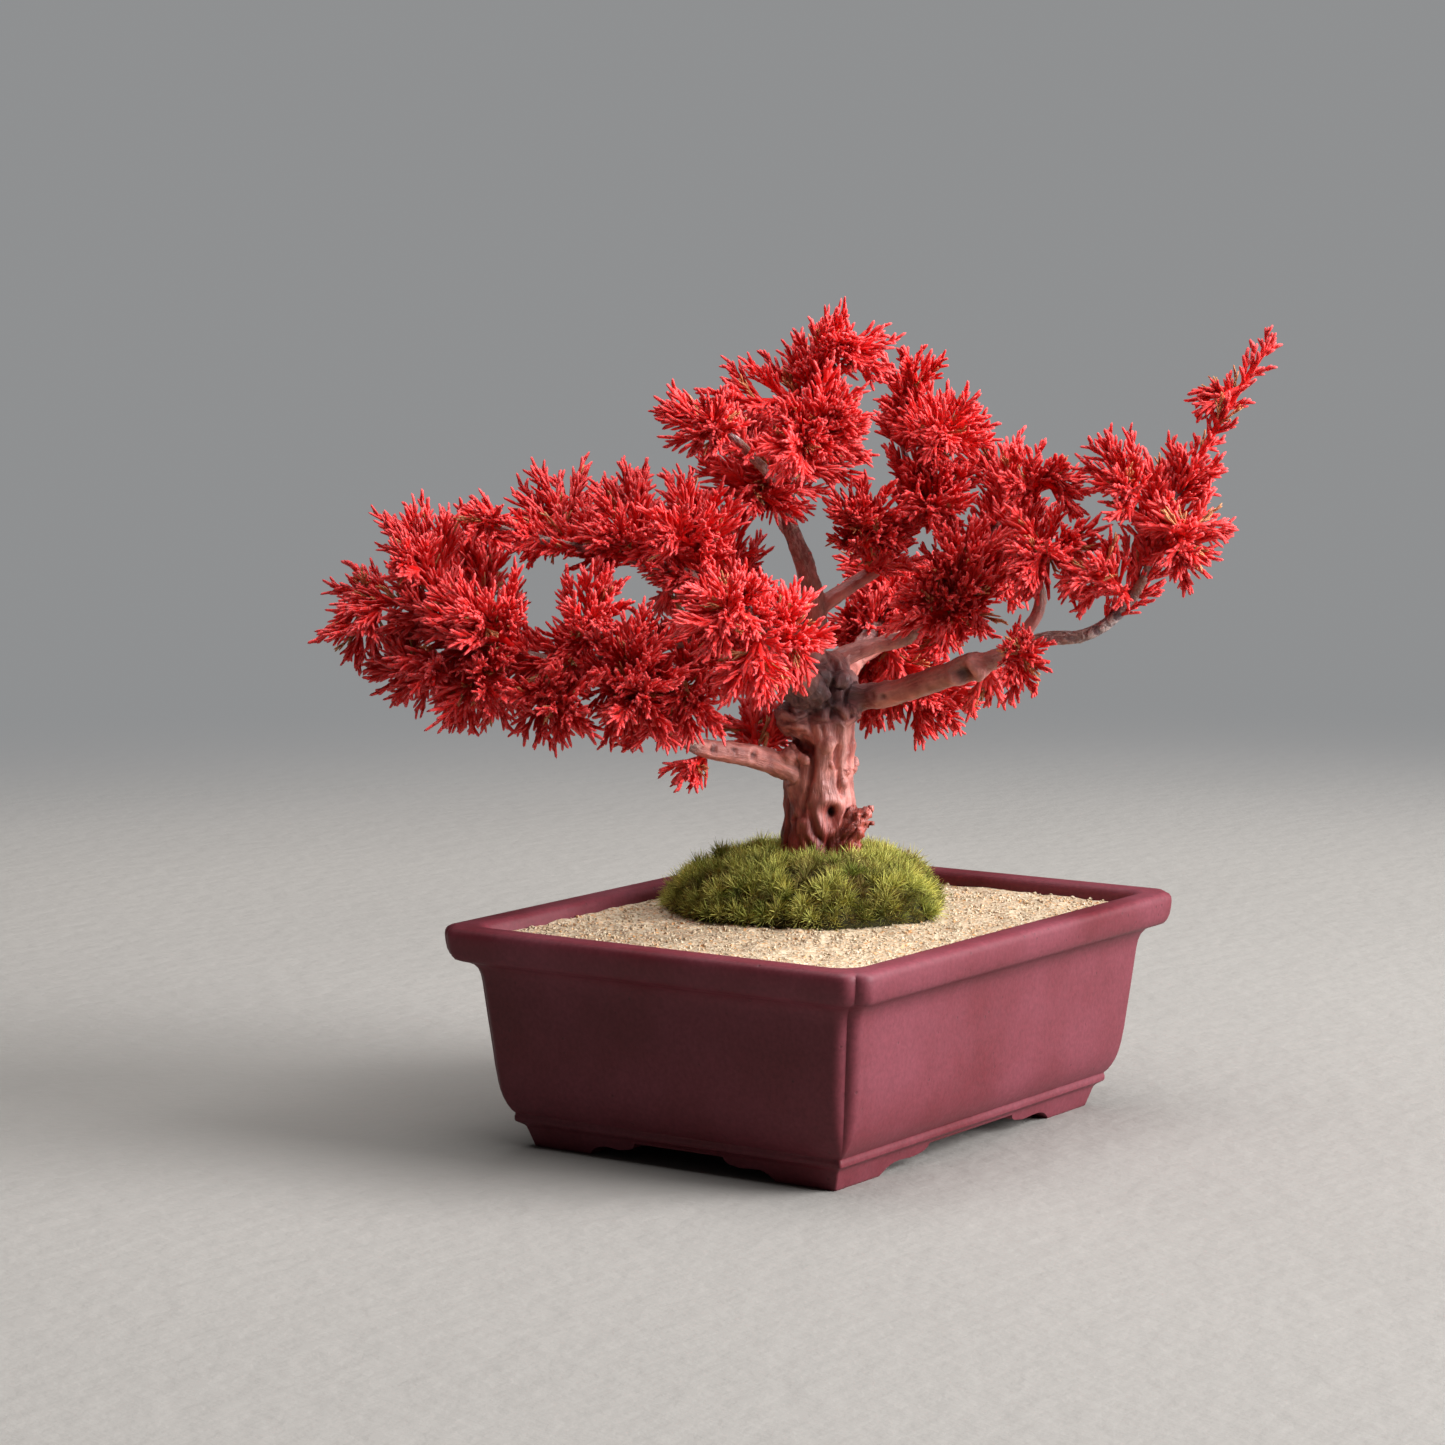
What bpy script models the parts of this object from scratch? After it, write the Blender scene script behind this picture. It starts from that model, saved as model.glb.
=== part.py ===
"""Shimpaku juniper bonsai in an unglazed rectangular pot with indented corners.

Metres, +Z up. The origin is the pot's centre on the surface that it stands on, with +X along the
pot's long side. The tree's places are given in millimetres across, towards and up, in a frame
turned about the origin so that the widest spread of the crown lies over the pot's diagonal.
"""
import math
import random

import bmesh
import bpy
import numpy as np
from mathutils import Matrix, Vector
from mathutils.bvhtree import BVHTree

MM = 0.001
GAP = 0.3 * MM

# Pot: outer size over the lip, floor and what stands on it
POT_LENGTH = 150 * MM
POT_WIDTH = 120 * MM
FLOOR_TOP = 10.5 * MM
FLOOR_UNDERSIDE = 6.3 * MM
FOOT_THICKNESS = 6.0 * MM
LOBE_STEPS = 3
# Outer wall from the foot up: inset from the lip, height, lobe radius and lobe turn at the corner
OUTER_WALL = [
    (17.4, 0.0, 0.6, 45), (17.0, 0.5, 0.6, 45), (15.7, 4.9, 0.6, 45), (15.2, 5.7, 0.6, 45),
    (13.8, 6.4, 0.7, 45), (13.6, 7.9, 0.7, 45), (13.8, 8.5, 0.8, 46), (12.5, 9.8, 1.2, 54),
    (11.0, 12.2, 1.8, 64), (9.7, 16.0, 2.4, 72), (8.4, 24.0, 2.8, 78), (7.4, 33.0, 2.8, 80),
    (6.7, 40.0, 2.8, 80), (6.0, 43.0, 2.8, 80), (4.4, 45.1, 3.0, 80), (2.3, 45.9, 3.3, 80),
    (0.9, 46.9, 3.4, 80), (0.3, 48.4, 3.4, 80), (0.0, 52.2, 3.4, 80), (0.5, 53.4, 3.2, 80),
    (1.6, 54.0, 3.0, 76),
]
# Inner wall from the lip down: inset from the lip, height
INNER_WALL = [(5.9, 54.0), (7.0, 53.5), (7.6, 52.3), (9.0, 46.0), (11.0, 32.0), (13.0, 20.0),
              (15.2, 13.4), (18.6, 10.5)]
INNER_CORNER = 6.5
# Half outline of the opening between two feet: share of its cusp's length, height
CUSP = [(1.0, -1.0), (1.0, 0.0), (0.93, 1.1), (0.82, 2.2), (0.64, 2.7), (0.40, 2.4), (0.22, 2.6),
        (0.08, 3.1), (0.0, 4.6)]
LONG_APRON = 19 * MM
LONG_CUSP = 20 * MM
SHORT_APRON = 12.5 * MM
SHORT_CUSP = 14 * MM
DRAIN_PLACES = {"left": -29 * MM, "right": 29 * MM}
DRAIN_RADIUS = 6.0 * MM
SCREEN_SIDE = 17.5 * MM
SCREEN_CELLS = 7
SCREEN_THICKNESS = 0.8 * MM

# Filling
SOIL_TOP = 47.6 * MM
SAND_BOTTOM = SOIL_TOP + GAP
SAND_TOP = 50.8 * MM
SAND_RIPPLE = 0.35 * MM
SAND_WAVES = (310, 270)
SAND_RINGS = (0.12, 0.3, 0.5)
SAND_EDGE_STEP = 17 * MM
SAND_HOLE_RADIUS = 10.2 * MM
MOSS_CENTRE = (-2, -22)
MOSS_RADIUS = 34.0 * MM
MOSS_HEIGHT = 12.5 * MM
MOSS_HOLE_RADIUS = 11.0 * MM
MOSS_EDGE_HEIGHT = 1.2 * MM
MOSS_TUFT = 1.1 * MM
MOSS_TUFT_WIDTH = 5.6 * MM
MOSS_SPOKES = 44
MOSS_RINGS = 11

# Tree: the frame's turn, the trunk's rings as across, towards, up and radius, and its limbs
TREE_TURN = math.radians(-55.67)
STUMP_RADIUS = 9.0
TRUNK_SIDES = 18
# Ridges that wind round the trunk: how many, their share of the radius, turn per millimetre up
TRUNK_RIDGES = [(3, 0.045, 0.05), (5, 0.035, -0.07)]
RIDGES_START = 52
RIDGES_GROW_OVER = 8
TRUNK = [(1, -22, 31, 8.4), (1, -22, 33, 9.0), (1, -22, 50, 9.0), (1, -22, 54, 9.6), (1, -22, 60, 9.7),
         (1, -22, 66, 9.1), (1, -22, 72, 8.7), (1, -22, 79, 8.5), (1, -22, 86, 8.1), (2, -22, 92, 8.0),
         (2, -22, 98, 8.2), (3, -23, 104, 7.6), (3, -23, 109, 5.4)]
LIMBS = {
    "low_left": [(-1, -20, 83, 3.6), (-9, -17, 87, 3.1), (-17, -12, 90, 2.7), (-26, -6, 92, 2.3),
                 (-32, 0, 95, 1.8), (-39, 5, 99, 1.4)],
    "right": [(4, -22, 102, 5.0), (13, -18, 102, 4.3), (22, -12, 104, 3.9), (30, -5, 108, 3.6),
              (37, 0, 112, 3.0), (45, 4, 116, 2.3), (54, 6, 120, 2.0), (63, 8, 121, 1.9),
              (70, 9, 125, 1.8), (76, 9, 132, 1.6), (80, 9, 141, 1.4), (83, 9, 150, 1.2),
              (88, 8, 159, 0.9)],
    "mid": [(3, -26, 104, 4.2), (5, -30, 110, 3.2), (14, -33, 112, 2.6), (23, -32, 114, 2.3),
            (30, -28, 122, 2.0), (36, -24, 129, 1.7), (41, -20, 137, 1.4), (45, -18, 147, 1.1)],
    "mid_right": [(45, 4, 116, 1.8), (53, 2, 126, 1.5), (53, 0, 134, 1.3), (51, -2, 142, 1.1),
                  (50, -4, 151, 0.9)],
    "leader": [(2, -22, 101, 5.2), (-1, -20, 112, 3.6), (0, -20, 120, 3.0), (-1, -20, 129, 2.6),
               (-3, -21, 137, 2.3), (-6, -22, 144, 2.0), (-7, -23, 153, 1.7), (-5, -24, 163, 1.4),
               (-1, -24, 173, 1.1), (0, -23, 182, 0.9)],
    "leader_fork": [(0, -20, 125, 2.2), (8, -24, 130, 1.8), (17, -28, 136, 1.6), (22, -32, 145, 1.4),
                    (23, -34, 156, 1.1), (22, -36, 165, 0.9)],
    "up_left": [(-1, -20, 117, 2.6), (-10, -14, 124, 2.1), (-22, -6, 131, 1.9), (-36, 2, 137, 1.7),
                (-50, 8, 141, 1.5), (-64, 12, 144, 1.2), (-77, 14, 148, 0.9)],
    "left": [(1, -20, 100, 4.4), (-8, -12, 109, 3.2), (-18, -4, 115, 2.8), (-28, 4, 119, 2.5),
             (-40, 10, 120, 2.2), (-52, 15, 117, 2.0), (-63, 18, 116, 1.8), (-73, 20, 119, 1.5),
             (-84, 20, 124, 1.2), (-95, 18, 128, 0.9)],
    "front": [(0, -18, 103, 3.8), (-6, 2, 114, 2.6), (-11, 18, 121, 2.1), (-15, 32, 127, 1.7),
              (-19, 44, 132, 1.2)],
    "back": [(4, -28, 103, 3.8), (9, -42, 109, 2.8), (14, -54, 114, 2.3), (18, -64, 120, 1.8),
             (20, -72, 125, 1.2)],
    "back_left": [(1, -28, 104, 3.4), (-7, -40, 112, 2.5), (-16, -52, 118, 2.0), (-25, -62, 123, 1.6),
                  (-32, -70, 128, 1.1)],
    "back_right": [(10, -44, 110, 2.2), (22, -52, 116, 1.7), (34, -58, 123, 1.4), (44, -62, 128, 1.1)],
    "up_back": [(-3, -21, 138, 1.9), (-8, -34, 146, 1.5), (-12, -47, 153, 1.2), (-14, -58, 159, 1.0)],
    "up_front": [(-7, -23, 151, 1.7), (-11, -8, 158, 1.4), (-16, 4, 164, 1.2), (-22, 13, 171, 0.9)],
}
# Burl, knobs and the elbow's end on the wood: across, towards, up, radius
KNOBS = [(-5.5, -17, 98, 4.4), (-6.5, -15.5, 89.5, 2.2), (3, -14.6, 92, 2.0), (8.8, -17, 66.6, 2.3),
         (8, -17, 99, 3.6), (38.5, 1, 112.5, 3.3), (-3, -30, 76, 2.6), (8, -27, 86, 2.8)]
# Torn stub and its splinters: root and tip, each across, towards, up and radius
STUBS = [((4.5, -19, 66.5, 3.4), (12.2, -15.5, 73.6, 1.5)),
         ((9.5, -16.6, 71.0, 1.3), (13.6, -14.6, 76.4, 0.3)),
         ((10.0, -16.6, 71.4, 1.2), (15.2, -15.8, 73.4, 0.3))]
KNOT_COLLAR = (2.6, -14.6, 73.5, 3.1)
KNOT_HOLLOW = (2.8, -11.2, 73.9, 1.7)

# Foliage sprays: the limb, how far along its points, and for each tip across, towards, up, spread
SPRAYS = [
    ("low_left", 1.6, [(-17, -34, 101, 9), (-8, -44, 91, 8)]),
    ("low_left", 3.0, [(-37, -8, 82, 6), (-31, 4, 83, 5)]),
    ("low_left", 5.0, [(-49, 14, 94, 8), (-49, -6, 103, 9)]),
    ("right", 4.4, [(42, -16, 102, 8)]),
    ("right", 5.0, [(54, 24, 117, 8), (49, 14, 103, 8)]),
    ("right", 8.7, [(63, 26, 141, 9), (67, 4, 131, 8)]),
    ("right", 9.9, [(93, 22, 152, 8), (99, 0, 139, 7), (89, 16, 130, 6)]),
    ("right", 10.7, [(66, 10, 170, 8), (69, 28, 157, 9)]),
    ("right", 11.3, [(79, -14, 167, 9), (96, -2, 160, 8)]),
    ("right", 12.0, [(110, 8, 192, 5), (92, 8, 176, 6)]),
    ("mid", 4.3, [(39, 4, 127, 9), (32, 10, 144, 9), (21, 6, 132, 9)]),
    ("mid", 5.8, [(53, -34, 151, 9), (54, -40, 130, 9)]),
    ("mid", 7.0, [(49, -14, 167, 8), (40, -36, 162, 9)]),
    ("mid_right", 2.5, [(63, 18, 147, 9), (45, 26, 136, 9)]),
    ("mid_right", 4.0, [(58, 6, 164, 8), (43, 14, 156, 8)]),
    ("leader", 6.4, [(-20, -8, 153, 9), (-24, -30, 159, 9)]),
    ("leader", 7.4, [(-1, 14, 168, 9), (7, 12, 178, 10), (-9, 20, 162, 8)]),
    ("leader", 8.2, [(-13, -16, 181, 9), (-6, -40, 184, 9), (-30, -8, 178, 9)]),
    ("leader", 9.0, [(0, -22, 197, 7), (12, -8, 190, 9)]),
    ("leader_fork", 1.6, [(8, 4, 153, 9), (20, 2, 144, 9)]),
    ("leader_fork", 3.1, [(35, -10, 157, 9), (27, 4, 149, 9)]),
    ("leader_fork", 4.2, [(42, -18, 174, 9), (28, 4, 170, 9)]),
    ("leader_fork", 5.0, [(33, -36, 183, 9), (22, -20, 189, 9)]),
    ("up_left", 1.7, [(-29, -28, 149, 10), (-39, -34, 134, 10)]),
    ("up_left", 2.4, [(-31, 16, 154, 9), (-39, 32, 146, 10), (-21, 14, 143, 9)]),
    ("up_left", 3.4, [(-54, 28, 150, 9), (-45, -6, 164, 9)]),
    ("up_left", 4.7, [(-64, 0, 156, 9), (-72, -14, 147, 9), (-56, -24, 152, 9)]),
    ("up_left", 6.0, [(-86, 10, 155, 7), (-74, 28, 142, 8)]),
    ("left", 2.4, [(-28, 30, 134, 10), (-19, 34, 118, 9)]),
    ("left", 3.4, [(-37, 22, 96, 10), (-27, 44, 108, 10)]),
    ("left", 4.5, [(-47, 34, 98, 10), (-40, 54, 111, 10), (-42, 46, 128, 10)]),
    ("left", 5.2, [(-58, 30, 127, 10), (-49, 26, 141, 9)]),
    ("left", 6.2, [(-66, 30, 96, 9), (-55, 50, 106, 9)]),
    ("left", 6.5, [(-85, -14, 106, 10), (-68, -10, 106, 9)]),
    ("left", 6.9, [(-86, 44, 131, 10), (-70, 40, 133, 9)]),
    ("left", 7.2, [(-92, -14, 138, 10), (-84, -6, 152, 9)]),
    ("left", 7.5, [(-85, 26, 98, 9), (-74, 44, 110, 9)]),
    ("left", 7.9, [(-103, 14, 105, 8), (-91, 36, 111, 9)]),
    ("left", 8.3, [(-104, 6, 150, 10), (-100, 34, 141, 9)]),
    ("left", 9.0, [(-117, 2, 133, 8), (-111, 24, 122, 9)]),
    ("front", 2.4, [(-2, 44, 121, 9), (-5, 30, 132, 9)]),
    ("front", 3.2, [(-13, 52, 109, 9), (-25, 46, 110, 9)]),
    ("front", 4.0, [(-27, 66, 122, 9), (-20, 58, 141, 9)]),
    ("back", 2.6, [(31, -62, 86, 8), (44, -52, 95, 8)]),
    ("back", 3.2, [(13, -92, 108, 9), (15, -66, 86, 9)]),
    ("back", 4.0, [(23, -86, 132, 10), (8, -92, 129, 10)]),
    ("back_left", 2.9, [(-29, -86, 108, 10), (-15, -66, 97, 9), (-24, -84, 140, 10)]),
    ("back_left", 4.0, [(-45, -88, 132, 10), (-38, -90, 116, 9)]),
    ("back_right", 1.8, [(38, -72, 110, 9), (32, -76, 133, 9)]),
    ("back_right", 3.0, [(56, -62, 134, 9), (53, -58, 119, 9)]),
    ("up_back", 2.1, [(1, -72, 169, 10), (7, -66, 154, 9), (17, -60, 160, 10)]),
    ("up_back", 3.0, [(-25, -80, 166, 10), (-12, -60, 175, 10)]),
    ("up_front", 3.0, [(-31, 30, 166, 9), (-41, 16, 177, 8), (-18, 34, 173, 9)]),
]
CROWN_HALF = (86.5 * MM, 97.0 * MM)
# A twig leaves its limb at a right angle, then bends over a knee towards its tip
TWIG_RADIUS = (1.25 * MM, 0.75 * MM)
TWIG_STEPS = 3
TWIG_ROOT = 1.2 * MM
KNEE_SHARE = 0.45
KNEE_OUT = 0.16
KNEE_UP = 0.05
SIDE_TWIG_START = 0.3
SIDE_TWIG_STEP = 0.12
# Cords stand round a twig between two shares of its length, shorter and thinner towards its tip
CORD_SPAN = (0.26, 0.94)
CORD_RADIUS = (0.78 * MM, 0.52 * MM)
CORD_LENGTH = 1.25
CORD_SHORTENING = 0.45
CORD_COUNTS = (5, 3)
CORD_ANGLE = math.radians(44)
CORD_IN_TWIG = 0.2
GOLDEN_TURN = math.radians(137.5)
# What a cord or twig that meets another node tries instead
CORD_TRIES = 9
CORD_TURN_STEP = 0.7
CORD_SHRINK_STEP = 0.06
TRIES_AT_FULL_LENGTH = 8
TWIG_SHRINK_STEP = 0.012
ROOT_IN_BARK = 0.35
WOOD_ALLOWANCE = 1.04
SEEDS_PER_SPRAY = 12
SOUND_MERGE = 0.0005 * MM
SPRAY_FACES_KEPT = 0.7
BEND_TRIES = 40
BEND_STEP = 0.35 * MM

# Colour, roughness and metallic of each material
FINISHES = {
    "stoneware": ((0.235, 0.075, 0.085), 0.55, 0.0),
    "soil": ((0.050, 0.032, 0.022), 0.95, 0.0),
    "sand": ((0.560, 0.420, 0.270), 0.85, 0.0),
    "moss": ((0.130, 0.200, 0.025), 0.95, 0.0),
    "bark": ((0.290, 0.095, 0.070), 0.75, 0.0),
    "foliage": ((0.520, 0.012, 0.016), 0.60, 0.0),
    "screen": ((0.030, 0.030, 0.032), 0.60, 0.0),
}


def clear_scene():
    """Remove every object, so the script can be run again in an open file."""
    for old in list(bpy.data.objects):
        bpy.data.objects.remove(old, do_unlink=True)


def make_collection(name):
    """Return a new collection linked to the scene."""
    made = bpy.data.collections.new(name)
    bpy.context.scene.collection.children.link(made)
    return made


def make_material(name, finish):
    """Return a Principled material for one node."""
    colour, roughness, metallic = FINISHES[finish]
    made = bpy.data.materials.new(name)
    made.use_nodes = True
    shader = made.node_tree.nodes["Principled BSDF"]
    shader.inputs["Base Color"].default_value = (*colour, 1.0)
    shader.inputs["Roughness"].default_value = roughness
    shader.inputs["Metallic"].default_value = metallic
    made.diffuse_color = (*colour, 1.0)
    return made


def add_object(name, mesh, collection):
    """Link a mesh as an object in a collection."""
    made = bpy.data.objects.new(name, mesh)
    collection.objects.link(made)
    return made


def add_part(name, mesh, finish, smooth_angle=None):
    """Link a mesh as one of the object's pieces, with its own material."""
    mesh.materials.append(make_material(name, finish))
    if smooth_angle is not None:
        mesh.shade_smooth()
        mesh.set_sharp_from_angle(angle=math.radians(smooth_angle))
    return add_object(name, mesh, PARTS)


def add_cutter(name, mesh):
    """Link a mesh as a hidden cutter."""
    made = add_object(name, mesh, CUTTERS)
    made.hide_render = True
    made.display_type = "WIRE"
    return made


def mesh_from(bm, name):
    """Turn a bmesh into a mesh with its faces pointing out."""
    bmesh.ops.recalc_face_normals(bm, faces=bm.faces)
    mesh = bpy.data.meshes.new(name)
    bm.to_mesh(mesh)
    bm.free()
    return mesh


def loft(name, rings):
    """Join rings of equal point counts into one closed body with flat ends."""
    bm = bmesh.new()
    rows = [[bm.verts.new(point) for point in ring] for ring in rings]
    count = len(rows[0])
    for low, high in zip(rows, rows[1:]):
        for i in range(count):
            bm.faces.new((low[i], low[(i + 1) % count], high[(i + 1) % count], high[i]))
    bm.faces.new(rows[0][::-1])
    bm.faces.new(rows[-1])
    return mesh_from(bm, name)


def cut(target, cutter, solver="EXACT"):
    """Take a cutter out of a piece."""
    made = target.modifiers.new(cutter.name, "BOOLEAN")
    made.operation = "DIFFERENCE"
    made.solver = solver
    made.object = cutter


def evaluated_mesh(source):
    """Return a new mesh of an object as its modifiers or its curve make it."""
    graph = bpy.context.evaluated_depsgraph_get()
    return bpy.data.meshes.new_from_object(source.evaluated_get(graph))


def fuse(target, collection, keep=1.0):
    """Union a collection of closed meshes into the target, thin its faces out, and remove them."""
    made = target.modifiers.new("fuse", "BOOLEAN")
    made.operation = "UNION"
    made.operand_type = "COLLECTION"
    made.solver = "MANIFOLD"
    made.collection = collection
    if keep < 1.0:
        thinned = target.modifiers.new("thin", "DECIMATE")
        thinned.ratio = keep
    mesh = evaluated_mesh(target)
    target.modifiers.clear()
    old = target.data
    target.data = mesh
    bpy.data.meshes.remove(old)
    for spent in list(collection.objects):
        bpy.data.objects.remove(spent, do_unlink=True)


def corner(centre_x, centre_y, sign_x, sign_y, radius, turn):
    """Points of one corner: two lobes that meet in a crease, or a plain round at a 45 degree turn."""
    reach = radius * (math.sin(turn) + 1.0 - math.cos(turn))
    points = []
    for step in range(LOBE_STEPS + 1):
        angle = turn * step / LOBE_STEPS
        x = centre_x - radius + radius * math.cos(angle)
        y = centre_y - reach + radius * math.sin(angle)
        points.append((x, y))
    mirrored = [(centre_x - (centre_y - y), centre_y - (centre_x - x)) for x, y in points[-2::-1]]
    points += mirrored
    if sign_x * sign_y < 0:
        points.reverse()
    return [(sign_x * x, sign_y * y) for x, y in points]


def pot_ring(inset, height, radius, turn_degrees):
    """Ring of the pot's outline at a height, inset from the lip, all in millimetres."""
    half_x = POT_LENGTH / 2 - inset * MM
    half_y = POT_WIDTH / 2 - inset * MM
    turn = math.radians(turn_degrees)
    ring = []
    for sign_x, sign_y in ((1, 1), (-1, 1), (-1, -1), (1, -1)):
        ring += corner(half_x, half_y, sign_x, sign_y, radius * MM, turn)
    return [(x, y, height * MM) for x, y in ring]


def inner_inset(height):
    """Inset of the inner wall at a height, in millimetres."""
    heights = [row[1] for row in INNER_WALL][::-1]
    insets = [row[0] for row in INNER_WALL][::-1]
    return float(np.interp(height / MM, heights, insets))


def filling_ring(height, clearance):
    """Ring just inside the pot's inner wall."""
    return pot_ring(inner_inset(height) + clearance / MM, height / MM, INNER_CORNER, 45)


def prism(name, outline, half_depth, along_x):
    """Extrude an outline of across and height through the pot, along X or along Y."""
    bm = bmesh.new()
    near = []
    for across, height in outline:
        place = (-half_depth, across, height) if along_x else (across, -half_depth, height)
        near.append(bm.verts.new(place))
    face = bm.faces.new(near)
    grown = bmesh.ops.extrude_face_region(bm, geom=[face])
    moved = [item for item in grown["geom"] if isinstance(item, bmesh.types.BMVert)]
    shift = (2 * half_depth, 0, 0) if along_x else (0, 2 * half_depth, 0)
    bmesh.ops.translate(bm, verts=moved, vec=shift)
    return mesh_from(bm, name)


def opening_outline(apron, cusp):
    """Outline of the opening between two feet, with its cusps."""
    half = [(apron + cusp * share, height * MM) for share, height in CUSP]
    return half + [(-x, z) for x, z in reversed(half)]


def cylinder(name, x, y, bottom, top, radius, sides):
    """Upright closed cylinder."""
    bm = bmesh.new()
    bmesh.ops.create_cone(bm, cap_ends=True, segments=sides, radius1=radius, radius2=radius,
                          depth=top - bottom, matrix=Matrix.Translation((x, y, (top + bottom) / 2)))
    return mesh_from(bm, name)


def make_pot():
    """Pot with indented corners, hollow, on four corner feet, with two drain holes."""
    rings = [pot_ring(*row) for row in OUTER_WALL]
    rings += [pot_ring(inset, height, INNER_CORNER, 45) for inset, height in INNER_WALL]
    pot = add_part("pot", loft("pot", rings), "stoneware", 35)
    recess_inset = OUTER_WALL[0][0] + FOOT_THICKNESS / MM
    recess = loft("recess", [pot_ring(recess_inset, -1.0, 3.0, 45),
                             pot_ring(recess_inset + 0.6, FLOOR_UNDERSIDE / MM, 3.0, 45)])
    cut(pot, add_cutter("recess", recess))
    long_cut = prism("long_openings", opening_outline(LONG_APRON, LONG_CUSP), POT_WIDTH / 2, False)
    short_cut = prism("short_openings", opening_outline(SHORT_APRON, SHORT_CUSP), POT_LENGTH / 2, True)
    cut(pot, add_cutter("long_openings", long_cut))
    cut(pot, add_cutter("short_openings", short_cut))
    for side, x in DRAIN_PLACES.items():
        low, high = FLOOR_UNDERSIDE - 2 * MM, FLOOR_TOP + 2 * MM
        hole = cylinder(f"drain_{side}", x, 0, low, high, DRAIN_RADIUS, 20)
        cut(pot, add_cutter(f"drain_{side}", hole))


def make_screens():
    """Square mesh screens over the drain holes."""
    for side, x in DRAIN_PLACES.items():
        bm = bmesh.new()
        place = Matrix.Translation((x, 0, FLOOR_TOP + GAP))
        bmesh.ops.create_grid(bm, x_segments=SCREEN_CELLS, y_segments=SCREEN_CELLS,
                              size=SCREEN_SIDE / 2, matrix=place)
        cell = SCREEN_SIDE / SCREEN_CELLS
        holes = []
        for face in bm.faces:
            centre = face.calc_center_median()
            column = int((centre.x - x + SCREEN_SIDE / 2) / cell)
            row = int((centre.y + SCREEN_SIDE / 2) / cell)
            if column % 2 and row % 2:
                holes.append(face)
        bmesh.ops.delete(bm, geom=holes, context="FACES")
        mesh = bpy.data.meshes.new(f"drain_screen_{side}")
        bm.to_mesh(mesh)
        bm.free()
        screen = add_part(f"drain_screen_{side}", mesh, "screen")
        wall = screen.modifiers.new("thickness", "SOLIDIFY")
        wall.thickness = SCREEN_THICKNESS
        wall.offset = 1.0


def tree_point(across, towards, up):
    """Place in the pot's frame of a point given in the tree's millimetres."""
    x = across * math.cos(TREE_TURN) + towards * math.sin(TREE_TURN)
    y = across * math.sin(TREE_TURN) - towards * math.cos(TREE_TURN)
    return Vector((x, y, up)) * MM


def make_soil():
    """Soil block that fills the pot to under the sand, with a plain hole for the stump."""
    heights = [FLOOR_TOP + GAP, 13.4 * MM, 20 * MM, 32 * MM, SOIL_TOP]
    soil = add_part("soil_fill", loft("soil_fill", [filling_ring(z, GAP) for z in heights]), "soil", 35)
    stump = tree_point(*TRUNK[0][:3])
    hole = cylinder("stump_hole", stump.x, stump.y, stump.z - GAP, SOIL_TOP + 5 * MM,
                    STUMP_RADIUS * MM + GAP, 24)
    cut(soil, add_cutter("stump_hole", hole))
    for side, x in DRAIN_PLACES.items():
        half = SCREEN_SIDE / 2 + GAP
        top = FLOOR_TOP + SCREEN_THICKNESS + 2 * GAP
        low = FLOOR_TOP - MM
        outline = [(x - half, low), (x + half, low), (x + half, top), (x - half, top)]
        room = prism(f"screen_room_{side}", outline, half, False)
        cut(soil, add_cutter(f"screen_room_{side}", room))


def even_ring(ring):
    """Ring with points added along its straight sides."""
    evened = []
    for start, end in zip(ring, ring[1:] + ring[:1]):
        pieces = max(1, round(math.dist(start, end) / SAND_EDGE_STEP))
        evened += [tuple(Vector(start).lerp(Vector(end), i / pieces)) for i in range(pieces)]
    return evened


def make_sand():
    """Sand layer with a gently uneven top that is flat under the moss."""
    stump = tree_point(*TRUNK[0][:3])
    outline = even_ring(filling_ring(SAND_TOP, GAP))
    bottom = even_ring(filling_ring(SAND_BOTTOM, GAP))
    middle = Vector(tree_point(*MOSS_CENTRE, 0))

    def hole_ring(height):
        ring = []
        for x, y, _ in outline:
            away = Vector((x - stump.x, y - stump.y, 0)).normalized()
            edge = stump + away * SAND_HOLE_RADIUS
            ring.append((edge.x, edge.y, height))
        return ring

    def blended(share):
        ring = []
        for (x, y, _), (hx, hy, _) in zip(outline, hole_ring(SAND_TOP)):
            px, py = x + (hx - x) * share, y + (hy - y) * share
            far = math.hypot(px - middle.x, py - middle.y) - MOSS_RADIUS - 2 * MM
            wave = math.sin(px * SAND_WAVES[0]) * math.cos(py * SAND_WAVES[1] + 1)
            ripple = SAND_RIPPLE * (wave - 1) if far > 0 else 0
            ring.append((px, py, SAND_TOP + ripple))
        return ring

    rings = [bottom, outline] + [blended(share) for share in SAND_RINGS]
    rings += [hole_ring(SAND_TOP), hole_ring(SAND_BOTTOM)]
    bm = bmesh.new()
    rows = [[bm.verts.new(point) for point in ring] for ring in rings]
    count = len(rows[0])
    for low, high in zip(rows, rows[1:] + rows[:1]):
        for i in range(count):
            bm.faces.new((low[i], low[(i + 1) % count], high[(i + 1) % count], high[i]))
    add_part("sand_layer", mesh_from(bm, "sand_layer"), "sand", 40)


def moss_height(x, y, share):
    """Height of the moss over the sand: a mound whose tufts are a formula of the place."""
    mound = MOSS_HEIGHT * max(0.0, 1.0 - share ** 2.4) ** 0.75
    turn = 2 * math.pi / MOSS_TUFT_WIDTH
    tufts = abs(math.sin(turn * x * 0.5 + 0.6)) * abs(math.sin(turn * y * 0.5 + 1.1))
    return mound + MOSS_TUFT * (tufts - 0.35) * min(1.0, 4 * (1.0 - share) + 0.3)


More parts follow.
